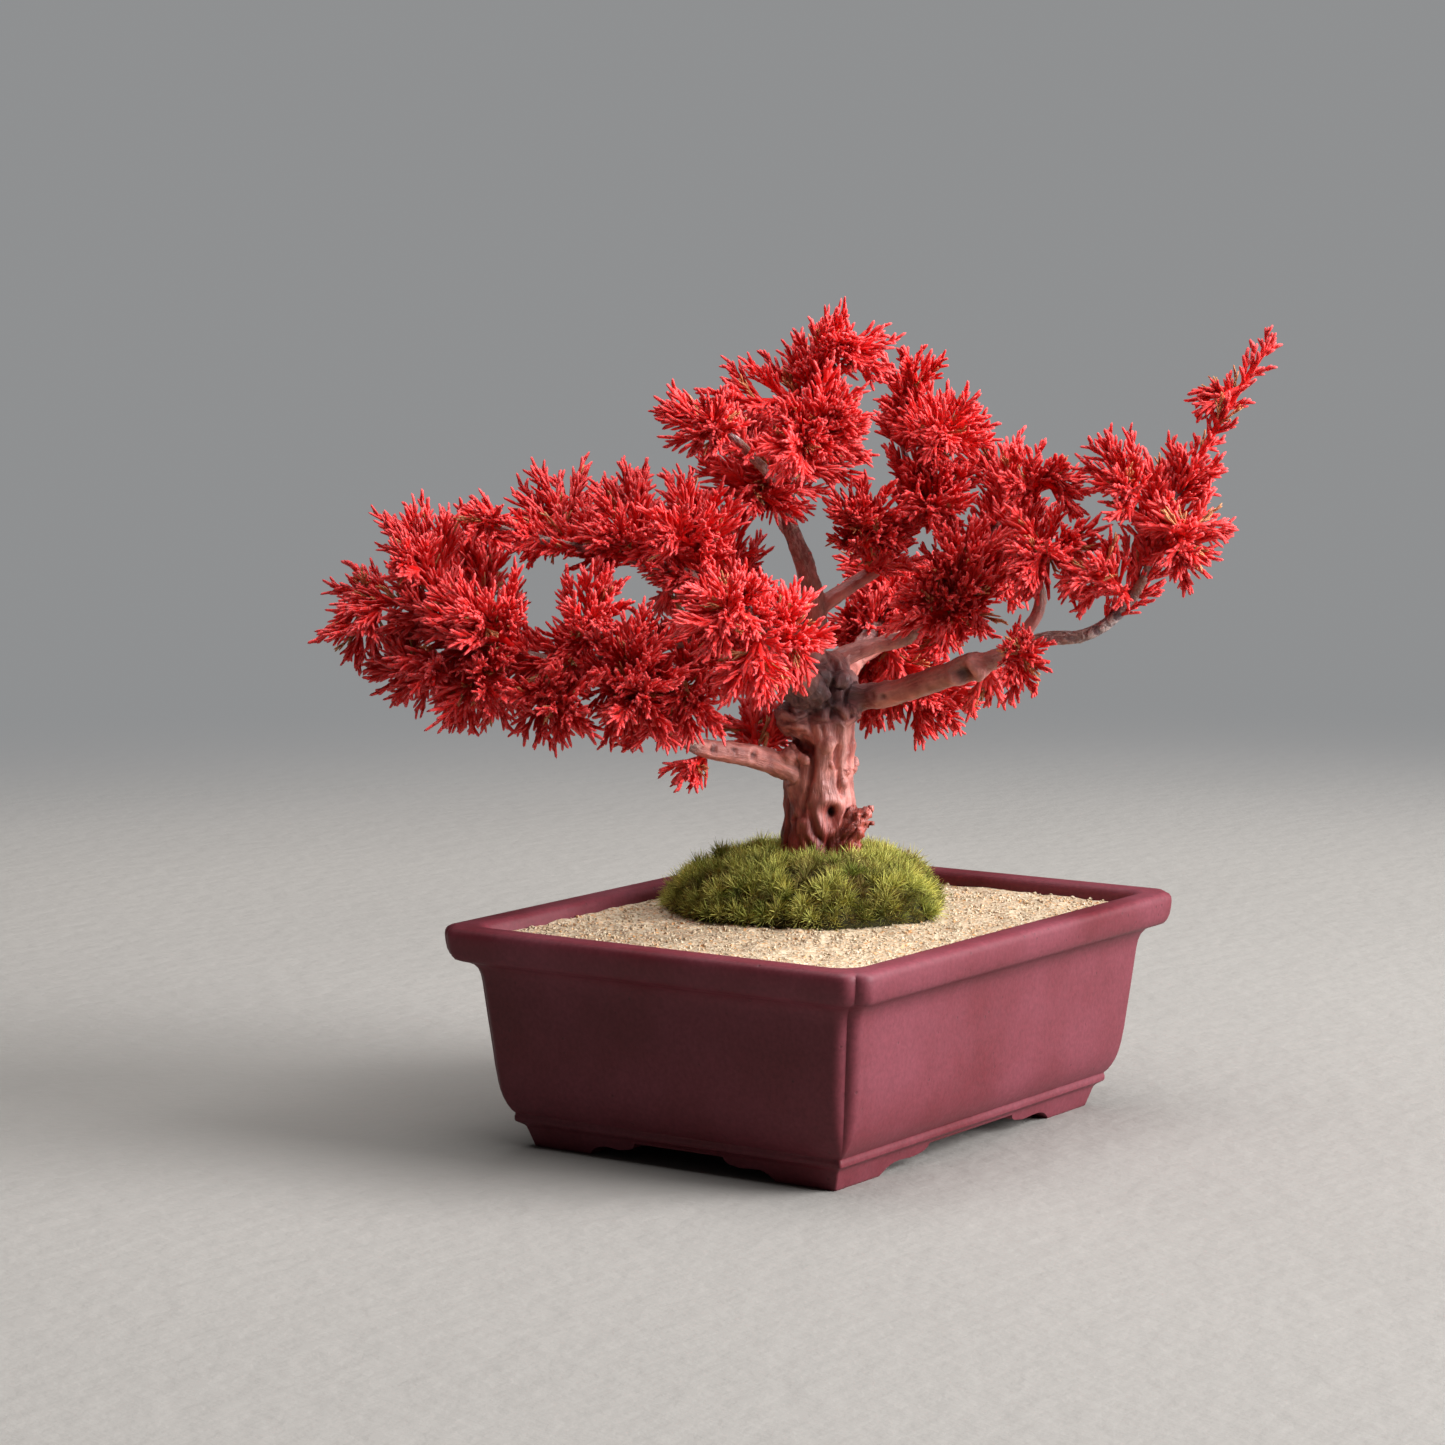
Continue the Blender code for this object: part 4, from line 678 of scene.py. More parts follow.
def foliage_material(settings):
    """Dyed scale leaves: deep red inside, with painted highlight that makes them pinker towards the tips, and
    a few dried cords.
    """
    material, tree, shader, place = blank_material("foliage", 0.6, 0.35)
    shader.inputs["Subsurface Weight"].default_value = 0.35
    shader.inputs["Subsurface Radius"].default_value = (1.0, 0.12, 0.08)
    shader.inputs["Subsurface Scale"].default_value = 0.001
    tone = attribute_socket(tree, "tone")
    colour = blend_colours(tree, tone, settings.deep, settings.body)
    # The pinker tip colour is painted highlight on the cords' ends.
    tips = arithmetic(tree, "MULTIPLY", attribute_socket(tree, "along"), 0.55)
    colour = blend_colours(tree, tips, colour, settings.tip)
    patch = noise_mask(tree, place, 45, 3, 0.35, 0.65)
    shade = blend_colours(tree, patch, (0.84, 0.68, 0.66), (1.10, 1.2, 1.2))
    colour = blend_colours(tree, 1.0, colour, shade, "MULTIPLY")
    dried = arithmetic(tree, "GREATER_THAN", tone, 0.985)
    colour = blend_colours(tree, dried, colour, settings.dried)
    tree.links.new(colour, shader.inputs["Base Color"])
    scales = noise_mask(tree, place, 1400, 1, 0.3, 0.7)
    raise_surface(tree, shader, scales, 0.00008)
    return material


def twig_material(settings):
    """Thin bark of the leafy twigs."""
    material, tree, shader, place = blank_material("twig_bark", 0.7, 0.3)
    patches = noise_mask(tree, place, 260, 3)
    colour = blend_colours(tree, patches, settings.twig_dark, settings.twig)
    tree.links.new(colour, shader.inputs["Base Color"])
    raise_surface(tree, shader, patches, 0.0001)
    return material


def soil_material():
    """Dark crumbly potting soil."""
    material, tree, shader, place = blank_material("soil", 0.95, 0.2)
    crumbs = noise_mask(tree, place, 420, 4)
    colour = blend_colours(tree, crumbs, (0.020, 0.012, 0.008), (0.085, 0.055, 0.036))
    colour = blend_colours(tree, speckles(tree, place, 260, 0.2), colour, (0.20, 0.13, 0.08))
    tree.links.new(colour, shader.inputs["Base Color"])
    raise_surface(tree, shader, crumbs, 0.0006)
    return material


def screen_material():
    """Black moulded drain mesh with a faint grain and dust."""
    material, tree, shader, place = blank_material("screen", 0.5, 0.4)
    dust = noise_mask(tree, place, 300, 3, 0.45, 0.75)
    colour = blend_colours(tree, dust, (0.018, 0.018, 0.020), (0.060, 0.054, 0.048))
    tree.links.new(colour, shader.inputs["Base Color"])
    raise_surface(tree, shader, noise_mask(tree, place, 1600, 1), 0.00003)
    return material


def floor_material(settings):
    """Pale matte floor with a faint unevenness, which thins out far from the object."""
    material, tree, shader, place = blank_material("pale_floor", 0.85, 0.2)
    cloud = noise_mask(tree, place, 6, 4, 0.3, 0.7)
    darker = [0.94 * part for part in settings.floor_colour]
    tree.links.new(blend_colours(tree, cloud, darker, settings.floor_colour), shader.inputs["Base Color"])
    raise_surface(tree, shader, noise_mask(tree, place, 120, 5), 0.0002)
    away = shader_node(tree, "ShaderNodeVectorMath", {0: place}, operation="LENGTH").outputs["Value"]
    thin = rescaled(tree, away, 0.35, 1.0, 1.0, 0.0, interpolation_type="SMOOTHERSTEP")
    tree.links.new(thin, shader.inputs["Alpha"])
    return material


# Pot


def corner(centre_x, centre_y, sign_x, sign_y, radius, turn):
    """Points of one corner: two lobes that meet in a crease, or a plain round at a 45 degree turn."""
    reach = radius * (math.sin(turn) + 1.0 - math.cos(turn))
    points = []
    for step in range(LOBE_STEPS + 1):
        angle = turn * step / LOBE_STEPS
        x = centre_x - radius + radius * math.cos(angle)
        y = centre_y - reach + radius * math.sin(angle)
        points.append((x, y))
    points += [(centre_x - (centre_y - y), centre_y - (centre_x - x)) for x, y in points[-2::-1]]
    if sign_x * sign_y < 0:
        points.reverse()
    return [(sign_x * x, sign_y * y) for x, y in points]


def pot_ring(inset, height, radius, turn_degrees):
    """Ring of the pot's outline at a height, inset from the lip, with points along its sides."""
    half_x = POT_LENGTH / 2 - inset * MM
    half_y = POT_WIDTH / 2 - inset * MM
    turn = math.radians(turn_degrees)
    corners = [corner(half_x, half_y, sign_x, sign_y, radius * MM, turn)
               for sign_x, sign_y in ((1, 1), (-1, 1), (-1, -1), (1, -1))]
    ring = []
    for here, after in zip(corners, corners[1:] + corners[:1]):
        ring += here
        start, end = Vector(here[-1]), Vector(after[0])
        ring += [tuple(start.lerp(end, k / SIDE_STEPS)) for k in range(1, SIDE_STEPS)]
    return [(x, y, height * MM) for x, y in ring]


def add_ring(bm, points):
    """Closed loop of edges through points."""
    verts = [bm.verts.new(point) for point in points]
    return [bm.edges.new((verts[i - 1], verts[i])) for i in range(len(verts))]


def lofted(name, rings):
    """Scratch object of a closed body through rings, bridged one to the next."""
    bm = bmesh.new()
    loops = [add_ring(bm, ring) for ring in rings]
    for low, high in zip(loops, loops[1:]):
        bmesh.ops.bridge_loops(bm, edges=low + high)
    bmesh.ops.contextual_create(bm, geom=loops[0])
    bmesh.ops.contextual_create(bm, geom=loops[-1])
    bmesh.ops.recalc_face_normals(bm, faces=bm.faces)
    return scratch_object(name, bm)


def opening(name, apron, cusp, half_depth, along_x):
    """Scratch prism of the opening between two feet, through the whole pot."""
    half = [(apron + cusp * share, height * MM) for share, height in CUSP]
    outline = half + [(-across, up) for across, up in reversed(half)]
    bm = bmesh.new()
    if along_x:
        places = [(-half_depth, across, up) for across, up in outline]
        shift = (2 * half_depth, 0, 0)
    else:
        places = [(across, -half_depth, up) for across, up in outline]
        shift = (0, 2 * half_depth, 0)
    face = bmesh.ops.contextual_create(bm, geom=add_ring(bm, places))["faces"][0]
    grown = bmesh.ops.extrude_face_region(bm, geom=[face])["geom"]
    moved = [item for item in grown if isinstance(item, bmesh.types.BMVert)]
    bmesh.ops.translate(bm, verts=moved, vec=shift)
    bmesh.ops.recalc_face_normals(bm, faces=bm.faces)
    return scratch_object(name, bm)


def drain_cutter(x):
    """Scratch cylinder through the floor."""
    bm = bmesh.new()
    middle = (FLOOR_TOP + FLOOR_UNDERSIDE) / 2
    bmesh.ops.create_cone(bm, cap_ends=True, segments=DRAIN_SIDES, radius1=DRAIN_RADIUS,
                          radius2=DRAIN_RADIUS, depth=FLOOR_TOP - FLOOR_UNDERSIDE + 4 * MM,
                          matrix=Matrix.Translation((x, 0, middle)))
    return scratch_object("drain", bm)


def pot_mesh():
    """Mesh of the pot with its corners, feet, cusped aprons and drain holes."""
    rings = [pot_ring(*row) for row in OUTER_WALL]
    rings += [pot_ring(inset, height, INNER_CORNER, 45) for inset, height in INNER_WALL]
    pot = lofted("pot_body", rings)
    inset = OUTER_WALL[0][0] + FOOT_THICKNESS / MM
    recess = lofted("recess", [pot_ring(inset, -1.0, 3.0, 45),
                               pot_ring(inset + 0.6, FLOOR_UNDERSIDE / MM, 3.0, 45)])
    cutters = [recess, opening("long", LONG_APRON, LONG_CUSP, POT_WIDTH / 2, False),
               opening("short", SHORT_APRON, SHORT_CUSP, POT_LENGTH / 2, True)]
    cutters += [drain_cutter(x) for x in DRAIN_PLACES]
    for cutter in cutters:
        made = pot.modifiers.new(cutter.name, "BOOLEAN")
        made.operation = "DIFFERENCE"
        made.solver = "EXACT"
        made.object = cutter
    mesh = finished_mesh(pot)
    for spent in [pot, *cutters]:
        drop(spent)
    mesh.shade_smooth()
    mesh.set_sharp_from_angle(angle=math.radians(32))
    return mesh


# Wood


def limb_frames():
    """Start, end, radii, distance from its limb's root, and age of every stretch of wood, as arrays."""
    starts, ends, girths, travelled, ages = [], [], [], [], []
    for name, rows in {"trunk": TRUNK, **LIMBS}.items():
        route, radii = smooth_route(rows, 4 * MM)
        gone = 0.0
        whole = sum((b - a).length for a, b in zip(route, route[1:]))
        for low, high, r_low, r_high in zip(route, route[1:], radii, radii[1:]):
            starts.append(tuple(low))
            ends.append(tuple(high))
            girths.append((r_low, r_high))
            travelled.append(gone)
            ages.append(0.0 if name == "trunk" else gone / whole)
            gone += (high - low).length
    return [np.array(column) for column in (starts, ends, girths, travelled, ages)]


def wood_coordinates(places):
    """For each point: fibre coordinates and the wood's radius there in millimetres, and its age."""
    starts, ends, girths, travelled, ages = limb_frames()
    spans = ends - starts
    lengths = np.linalg.norm(spans, axis=1)
    best = np.full(len(places), 1e9)
    fibre = np.zeros((len(places), 3))
    girth = np.zeros(len(places))
    age = np.zeros(len(places))
    for start, span, length, radii, gone, years in zip(starts, spans, lengths, girths, travelled, ages):
        offset = places - start
        share = np.clip(offset @ span / length ** 2, 0, 1)
        away = offset - share[:, None] * span
        radius = radii[0] + (radii[1] - radii[0]) * share
        score = np.linalg.norm(away, axis=1) - radius
        closer = score < best
        best = np.where(closer, score, best)
        axis = span / length
        level = away - np.outer(away @ axis, axis)
        coordinates = np.column_stack([level[:, 0] + level[:, 2] * 0.7, level[:, 1] - level[:, 2] * 0.7,
                                       gone + share * length])
        fibre[closer] = coordinates[closer]
        girth[closer] = radius[closer]
        age[closer] = years
    return fibre / MM, girth / MM, age


def rough_wood(settings):
    """Scratch object: trunk, limbs, knobs and stubs as overlapping bodies, remeshed as one."""
    bm = bmesh.new()
    for rows in [TRUNK, *LIMBS.values()]:
        route, radii = smooth_route(rows, 2.5 * MM)
        add_tube(bm, route, radii, 14)
        cap = Matrix.Translation(route[-1])
        bmesh.ops.create_icosphere(bm, subdivisions=2, radius=radii[-1], matrix=cap)
    for rows, detail in ((KNOBS, 3), (BEADS, 2)):
        for across, towards, up, radius in rows:
            bmesh.ops.create_icosphere(bm, subdivisions=detail, radius=radius * MM,
                                       matrix=Matrix.Translation(tree_point(across, towards, up)))
    for root, tip in STUBS + FIBRES:
        route, radii = smooth_route([root, tip], 1 * MM)
        add_tube(bm, route, radii, 7)
    for number in range(settings.root_count):
        angle = 2 * math.pi * number / settings.root_count + 0.4
        away = Vector((math.cos(angle), math.sin(angle), 0))
        foot = tree_point(*TRUNK[2][:3])
        route = [foot + away * 6 * MM + Vector((0, 0, 13 * MM)),
                 foot + away * 9 * MM + Vector((0, 0, 5 * MM)), foot + away * 15 * MM]
        add_tube(bm, route, [3.4 * MM, 3.2 * MM, 1.6 * MM], 10)
    wood = scratch_object("wood_body", bm)
    fused = wood.modifiers.new("fused", "REMESH")
    fused.mode = "VOXEL"
    fused.voxel_size = settings.voxel
    eased = wood.modifiers.new("eased", "SMOOTH")
    eased.factor = 0.5
    eased.iterations = 6
    return wood


def fold_rise(tree_places, facing):
    """Height of the trunk's folds at each point, on the side that faces the front."""
    rise = np.zeros(len(tree_places))
    for height, width, line in FOLDS:
        nearest = np.full(len(tree_places), 1e9)
        for (x0, y0), (x1, y1) in zip(line, line[1:]):
            span = np.array([x1 - x0, y1 - y0])
            offset = tree_places[:, [0, 2]] - (x0, y0)
            share = np.clip(offset @ span / (span @ span), 0, 1)
            nearest = np.minimum(nearest, np.linalg.norm(offset - share[:, None] * span, axis=1))
        rise += height * np.exp(-(nearest / width) ** 2)
    return rise * facing


def fork_share(spot):
    """How much each point belongs to the rough fork where the limbs part."""
    away = np.linalg.norm((spot - FORK_MIDDLE) / FORK_REACH, axis=1)
    return np.clip((1.25 - away) / 0.7, 0, 1)


def torn_share(spot):
    """How much each point belongs to the torn stub."""
    away = np.linalg.norm((spot - TORN_MIDDLE) / TORN_REACH, axis=1)
    outside = np.clip((spot[:, 0] - 0.55 * (spot[:, 2] - 66) + 0.5) / 2, 0, 1)
    return np.clip((1.3 - away) / 0.5, 0, 1) * outside * (spot[:, 2] < 78)


def knot_relief(spot, front):
    """Where the knot hole is, each point's distance from it, its collar's rise and its share of painted shade
    in the hole.
    """
    offset = spot - KNOT
    ring = np.hypot(offset[:, 0] / 0.85, np.where(offset[:, 2] < 0, offset[:, 2] * 0.66, offset[:, 2]))
    near = front * (np.abs(offset[:, 1]) < 6)
    eye = np.hypot((offset[:, 0] - 0.4) / 0.62, offset[:, 2] - 0.4)
    lower = np.hypot((offset[:, 0] + 0.4) / 0.9, (offset[:, 2] + 2.4) / 0.8)
    collar = 0.95 * np.exp(-((ring - 3.1) / 1.0) ** 2) - 0.7 * np.exp(-(ring / 2.1) ** 2)
    collar += 0.5 * np.exp(-(lower / 1.1) ** 2) - 2.4 * np.exp(-(eye / 0.95) ** 2)
    return near, ring, collar, near * np.exp(-(eye / 1.35) ** 4)


def carve(places, normals, fibre, girth):
    """Rise in millimetres of every point of the wood, and how much painted shade it takes in the knot hole
    and the scars.
    """
    thick = np.clip((girth - 1.2) / 6.0, 0, 1)
    spot = tree_coordinates(places)
    sway = np.column_stack([value_noise(spot / 4.5, seed) - 0.5 for seed in (31, 32, 33)])
    spot = spot + sway * 1.5
    toward = np.array(tree_point(0, 1, 0).normalized())
    front = np.clip(normals @ toward * 1.6 + 0.5, 0, 1) * (spot[:, 1] < -9) * (np.abs(spot[:, 0] - 1) < 13)
    front *= np.clip((112 - spot[:, 2]) / 6, 0, 1)
    flutes = ridges(fibre * (0.17, 0.17, 0.02) + sway * 0.3, 3)
    cords = ridges(fibre * (0.42, 0.42, 0.05) + sway * 0.4, 5)
    strands = value_noise(fibre * (1.25, 1.25, 0.13) + sway * 0.5, 7)
    flakes = value_noise(fibre * (0.8, 0.8, 0.30), 11)
    fork = fork_share(spot)
    warts = ridges(places / MM * (0.34, 0.34, 0.26) + sway * 0.4, 13)
    rise = thick * (1.5 * (flutes - 0.62) * (1 - 0.7 * front) + 0.8 * (cords - 0.55))
    rise += (0.2 + 0.32 * thick) * (strands - 0.5)
    rise += 0.6 * (1 - thick) * np.round(flakes * 3) / 3 * np.minimum(1, girth / 2) - 0.12
    rise += fork * 2.0 * (warts - 0.55)
    rise += 0.8 * thick * (ridges(places / MM * (0.24, 0.24, 0.15) + sway * 0.4, 17) - 0.6)
    rise += 0.45 * thick * (ridges(places / MM * (0.55, 0.55, 0.42) + sway * 0.5, 19) - 0.55)
    slant = np.column_stack([spot[:, 0] - spot[:, 2], spot[:, 1] * 2, (spot[:, 0] + spot[:, 2]) * 0.16])
    rise += 2.0 * torn_share(tree_coordinates(places)) * (ridges(slant * 0.8, 23) - 0.55)
    rise += fold_rise(spot, front)
    near, ring, collar, hollow_shade = knot_relief(spot, front)
    rise = rise * (1 - 0.85 * near * np.exp(-(ring / 3.4) ** 4)) + near * collar
    for across, towards, up, radius, depth in SCARS:
        away = np.linalg.norm(spot - (across, towards, up), axis=1) / radius
        rise -= depth * np.exp(-away ** 2)
        rise += 0.35 * depth * np.exp(-((away - 1.5) / 0.5) ** 2)
        # Scar sockets take painted shade too.
        hollow_shade = np.maximum(hollow_shade, 0.75 * np.exp(-(away / 0.9) ** 4))
    return rise, hollow_shade


def vertex_rows(mesh, field):
    """Rows of a measure of every vertex, such as its place or its normal."""
    rows = np.empty(len(mesh.vertices) * 3)
    mesh.vertices.foreach_get(field, rows)
    return rows.reshape(-1, 3)


def wood_mesh(settings):
    """Mesh of the wood with its carved bark, and the attributes that its material reads."""
    wood = rough_wood(settings)
    mesh = finished_mesh(wood)
    drop(wood)
    places, normals = vertex_rows(mesh, "co"), vertex_rows(mesh, "normal")
    fibre, girth, age = wood_coordinates(places)
    rise, hollow_shade = carve(places, normals, fibre, girth)
    carved = places + normals * (rise * MM)[:, None]
    mesh.vertices.foreach_set("co", carved.ravel())
    spot = tree_coordinates(carved)
    set_attribute(mesh, "fibre", fibre, "FLOAT_VECTOR")
    # Painted shade in the knot hole and the scar sockets.
    set_attribute(mesh, "hollow_shade", hollow_shade)
    # Rise kept for the bark's painted highlight on crests and painted shade in grooves.
    set_attribute(mesh, "relief_shading", np.clip(0.5 + rise / 2.4, 0, 1))
    set_attribute(mesh, "fork", fork_share(spot))
    set_attribute(mesh, "torn", torn_share(spot))
    set_attribute(mesh, "foot", np.clip((FOOT_TOP - spot[:, 2]) / FOOT_FADE, 0, 1))
    low = spot[:, 2] < SHELTERED_TOP
    sheltered = low * np.clip((spot[:, 0] - SHELTERED_END) / SHELTERED_FADE, 0, 1)
    set_attribute(mesh, "age", np.clip(age * 2.0 - 0.25, 0, 1) * (1 - sheltered))
    mesh.update()
    mesh.shade_smooth()
    return mesh


def set_attribute(mesh, name, values, kind="FLOAT"):
    """Store a value for each vertex."""
    made = mesh.attributes.new(name, kind, "POINT")
    field = "vector" if kind == "FLOAT_VECTOR" else "value"
    made.data.foreach_set(field, np.asarray(values, dtype=np.float32).ravel())


# Foliage


def add_cord(bm, start, end, radius, rng):
    """Blunt scale-leaf cord between two points, with its own tone."""
    span = end - start
    body = span.length * 0.84
    place = Matrix.Translation(start) @ aim(span, rng.uniform(0, 2)) @ Matrix.Translation((0, 0, body / 2))
    made = bmesh.ops.create_cone(bm, cap_ends=True, segments=3, radius1=radius, radius2=radius * 0.72,
                                 depth=body, matrix=place)["verts"]
    caps = {face for vert in made for face in vert.link_faces}
    outer = max(caps, key=lambda face: face.calc_center_median().dot(span))
    tip = bmesh.ops.poke(bm, faces=[outer])["verts"]
    for vert in tip:
        vert.co = end
    along = bm.verts.layers.float["along"]
    tone = bm.verts.layers.float["tone"]
    shade = rng.random()
    for vert in [*made, *tip]:
        vert[along] = max(0.0, min(1.0, (vert.co - start).dot(span) / span.length_squared))
        vert[tone] = shade


def add_side_branch(bm, root, ahead, inward, reach, radius, rng):
    """Side cord that bends forward, with long fingers close along both sides of it."""
    tip = root + ahead * reach + inward * (0.08 * reach)
    if reach > 6.0 * MM:
        middle = root + ahead * (0.5 * reach)
        add_cord(bm, root, middle + (tip - middle) * 0.15, radius, rng)
        add_cord(bm, middle, tip, radius, rng)
    else:
        add_cord(bm, root, tip, radius, rng)
    fingers = 0 if reach < 3.4 * MM else min(4, int(reach / (2.1 * MM)))
    side = ahead.cross(inward).normalized()
    for finger in range(fingers):
        start = root.lerp(tip, 0.26 + 0.44 * finger / max(1, fingers - 1) if fingers > 1 else 0.42)
        turn = Matrix.Rotation(math.pi * finger + rng.uniform(-0.8, 0.8), 3, ahead)
        lean = math.radians(rng.uniform(11, 22))
        path = ahead * math.cos(lean) + (turn @ side) * math.sin(lean)
        end = start + path * max(2.6 * MM, reach * rng.uniform(0.5, 0.68))
        add_cord(bm, start, end, radius * 0.9, rng)


def frond_mesh(name, length, radius, seed):
    """Small plume along +Z: a bent axis with side branches in a loose plane."""
    rng = random.Random(seed)
    bm = bmesh.new()
    bm.verts.layers.float.new("along")
    bm.verts.layers.float.new("tone")
    bend = Vector((rng.uniform(-0.12, 0.12), rng.uniform(-0.12, 0.12), 0)) * length
    spots = [bend * (share * share) + Vector((0, 0, length * share)) for share in (0, 0.36, 0.7, 1.0)]
    for low, high in zip(spots, spots[1:]):
        add_cord(bm, low, high + (high - low) * 0.12, radius, rng)
    count = max(4, round(length / (1.9 * MM)))
    for number in range(count):
        share = 0.04 + 0.78 * number / (count - 1)
        root = bend * (share * share) + Vector((0, 0, length * share))
        azimuth = math.pi * number + rng.uniform(-0.85, 0.85)
        lean = math.radians(rng.uniform(15, 29))
        side = Vector((math.cos(azimuth), math.sin(azimuth), 0))
        ahead = side * math.sin(lean) + Vector((0, 0, math.cos(lean)))
        inward = Vector((0, 0, math.sin(lean))) - side * math.cos(lean)
        reach = length * (0.60 - 0.33 * share) * rng.uniform(0.85, 1.15)
        add_side_branch(bm, root, ahead, inward, reach, radius * rng.uniform(0.9, 1.0), rng)
    return as_mesh(name, bm)


def frond_library(settings):
    """Fronds of several lengths, some of each, and small dried ones."""
    radius = settings.cord_radius
    library = {}
    for size in FROND_SIZES:
        library[size] = [frond_mesh(f"frond_{size}_{number}", size * MM, radius, size * 100 + number)
                         for number in range(settings.variants)]
    dried = [frond_mesh(f"dried_{number}", 8 * MM, 0.6 * radius, 40 + number) for number in range(3)]
    for mesh in dried:
        mesh.attributes["tone"].data.foreach_set("value", [1.0] * len(mesh.vertices))
    return library, dried


def root_on_limb(limb, along, tip):
    """Root of a spray inside the limb's bark, and the direction in which it leaves."""
    rows = LIMBS[limb]
    first = min(int(along), len(rows) - 2)
    low, high = tree_point(*rows[first][:3]), tree_point(*rows[first + 1][:3])
    lengthwise = (high - low).normalized()
    place = low.lerp(high, along - first)
    if along >= len(rows) - 1:
        return place, lengthwise
    out = tip - place
    out -= lengthwise * out.dot(lengthwise)
    return place, out.normalized()


def bow(start, out, tip, steps):
    """Route from a root that leaves along a direction and bends over to a tip."""
    length = (tip - start).length
    knee = start.lerp(tip, 0.45) + out * (0.16 * length) + Vector((0, 0, 0.05 * length))
    route = []
    for step in range(steps + 1):
        t = step / steps
        route.append(start * (1 - t) ** 2 + knee * (2 * t * (1 - t)) + tip * (t * t))
    return route


def point_along(route, share):
    """Place and direction at a share of a route's points."""
    spot = min(share, 0.9999) * (len(route) - 1)
    first = int(spot)
    return route[first].lerp(route[first + 1], spot - first), (route[first + 1] - route[first]).normalized()


def limb_shoots(rng, library, limb, along, settings):
    """Short fronds straight out of the limb on both sides of a spray's root."""
    places = [tree_point(*row[:3]) for row in LIMBS[limb]]
    placements = []
    for _ in range(settings.shoots):
        share = (along + rng.uniform(-0.95, 0.95)) / (len(places) - 1)
        place, ahead = point_along(places, max(0.3, min(0.98, share)))
        side = Matrix.Rotation(rng.uniform(0, 2 * math.pi), 3, ahead) @ ahead.orthogonal().normalized()
        facing = ahead + side * rng.uniform(0.5, 1.3) + Vector((0, 0, 0.15))
        matrix = Matrix.Translation(place) @ aim(facing, rng.uniform(0, 2 * math.pi)) @ Matrix.Scale(0.95, 4)
        placements.append((rng.choice(library[rng.choice((7, 10, 10, 13))]), matrix))
    return placements


def dress_twig(rng, library, dried, route, spread, settings, start_share):
    """Fronds round a twig on all sides, shorter towards its tip, and one that ends it."""
    length = sum((b - a).length for a, b in zip(route, route[1:])) / MM
    count = max(5, round(length * (1 - start_share) * MM / settings.frond_step))
    azimuth = rng.uniform(0, 2 * math.pi)
    placements = []
    for number in range(count + 1):
        last = number == count
        share = start_share + (0.88 - start_share) * number / count
        left = length * (1 - share)
        reach = min(spread * settings.fullness, 1.6 + 0.85 * left) * rng.uniform(0.85, 1.1)
        place, ahead = point_along(route, share)
        azimuth += FROND_TURN + rng.uniform(-0.25, 0.25)
        lean = math.radians(min(42, 16 + left * 1.2)) * rng.uniform(0.7, 1.15)
        if last:
            lean, reach = 0.0, max(6.0, min(12.0, 1.2 * spread))
            place = route[-1] - ahead * (reach * MM)
        side = Matrix.Rotation(azimuth, 3, ahead) @ ahead.orthogonal().normalized()
        facing = ahead * math.cos(lean) + side * math.sin(lean) + Vector((0, 0, 0.0 if last else 0.1))
        size = min(library, key=lambda known: abs(known - reach))
        scale = Matrix.Scale(max(0.6, min(1.2, reach / size)), 4)
        matrix = Matrix.Translation(place) @ aim(facing, rng.uniform(0, 2 * math.pi)) @ scale
        placements.append((rng.choice(library[size]), matrix))
        if number % 4 == 1 and share < 0.6:
            turned = Matrix.Translation(place) @ aim(ahead - side + Vector((0, 0, 0.2)), azimuth)
            placements.append((rng.choice(dried), turned))
    return placements


def spray_mesh(name, number, library, dried, limb, along, tips, settings):
    """One spray: its forked twig, and fronds all round each fork."""
    rng = random.Random(number * 17 + 5)
    twigs = []
    fronds = []
    wood = bmesh.new()
    for order, (across, towards, up, spread) in enumerate(tips):
        tip = tree_point(across, towards, up)
        if order == 0:
            start, out = root_on_limb(limb, along, tip)
        else:
            start, out = point_along(twigs[0], 0.3 + 0.12 * (order - 1))
        tip -= (tip - start).normalized() * settings.tip_allowance
        route = bow(start, out, tip, TWIG_STEPS)
        twigs.append(route)
        radii = [(0.95 - 0.55 * i / TWIG_STEPS) * MM for i in range(TWIG_STEPS + 1)]
        add_tube(wood, route, radii, 6)
        fronds += dress_twig(rng, library, dried, route, spread, settings, 0.06 if order == 0 else 0.03)
    if along >= BARE_UNTIL.get(limb, 0):
        fronds += limb_shoots(rng, library, limb, along, settings)
    bm = heap(fronds)
    leaves = len(bm.faces)
    join(bm, wood)
    bm.faces.ensure_lookup_table()
    for face in bm.faces[leaves:]:
        face.material_index = 1
    mesh = as_mesh(name, bm)
    mesh.shade_smooth()
    return mesh


# Moss and sand


def tuft_mesh(name, seed, settings):
    """Star of thin pointed blades that rise and spread from one root."""
    rng = random.Random(seed)
    bm = bmesh.new()
    high = bm.verts.layers.float.new("high")
    for number in range(settings.blades):
        azimuth = BLADE_TURN * number + rng.uniform(-0.3, 0.3)
        lean = math.radians(12 + 66 * (number / settings.blades) ** 0.8 + rng.uniform(-8, 8))
        length = settings.blade_length * rng.uniform(0.75, 1.15)
        away = math.sin(lean)
        ahead = Vector((math.cos(azimuth) * away, math.sin(azimuth) * away, math.cos(lean)))
        place = aim(ahead) @ Matrix.Translation((0, 0, length / 2))
        made = bmesh.ops.create_cone(bm, cap_ends=True, segments=3, radius1=settings.blade_radius, radius2=0,
                                     depth=length, matrix=place)["verts"]
        for vert in made:
            vert[high] = min(1.0, vert.co.length / settings.blade_length + 0.15)
    return as_mesh(name, bm)


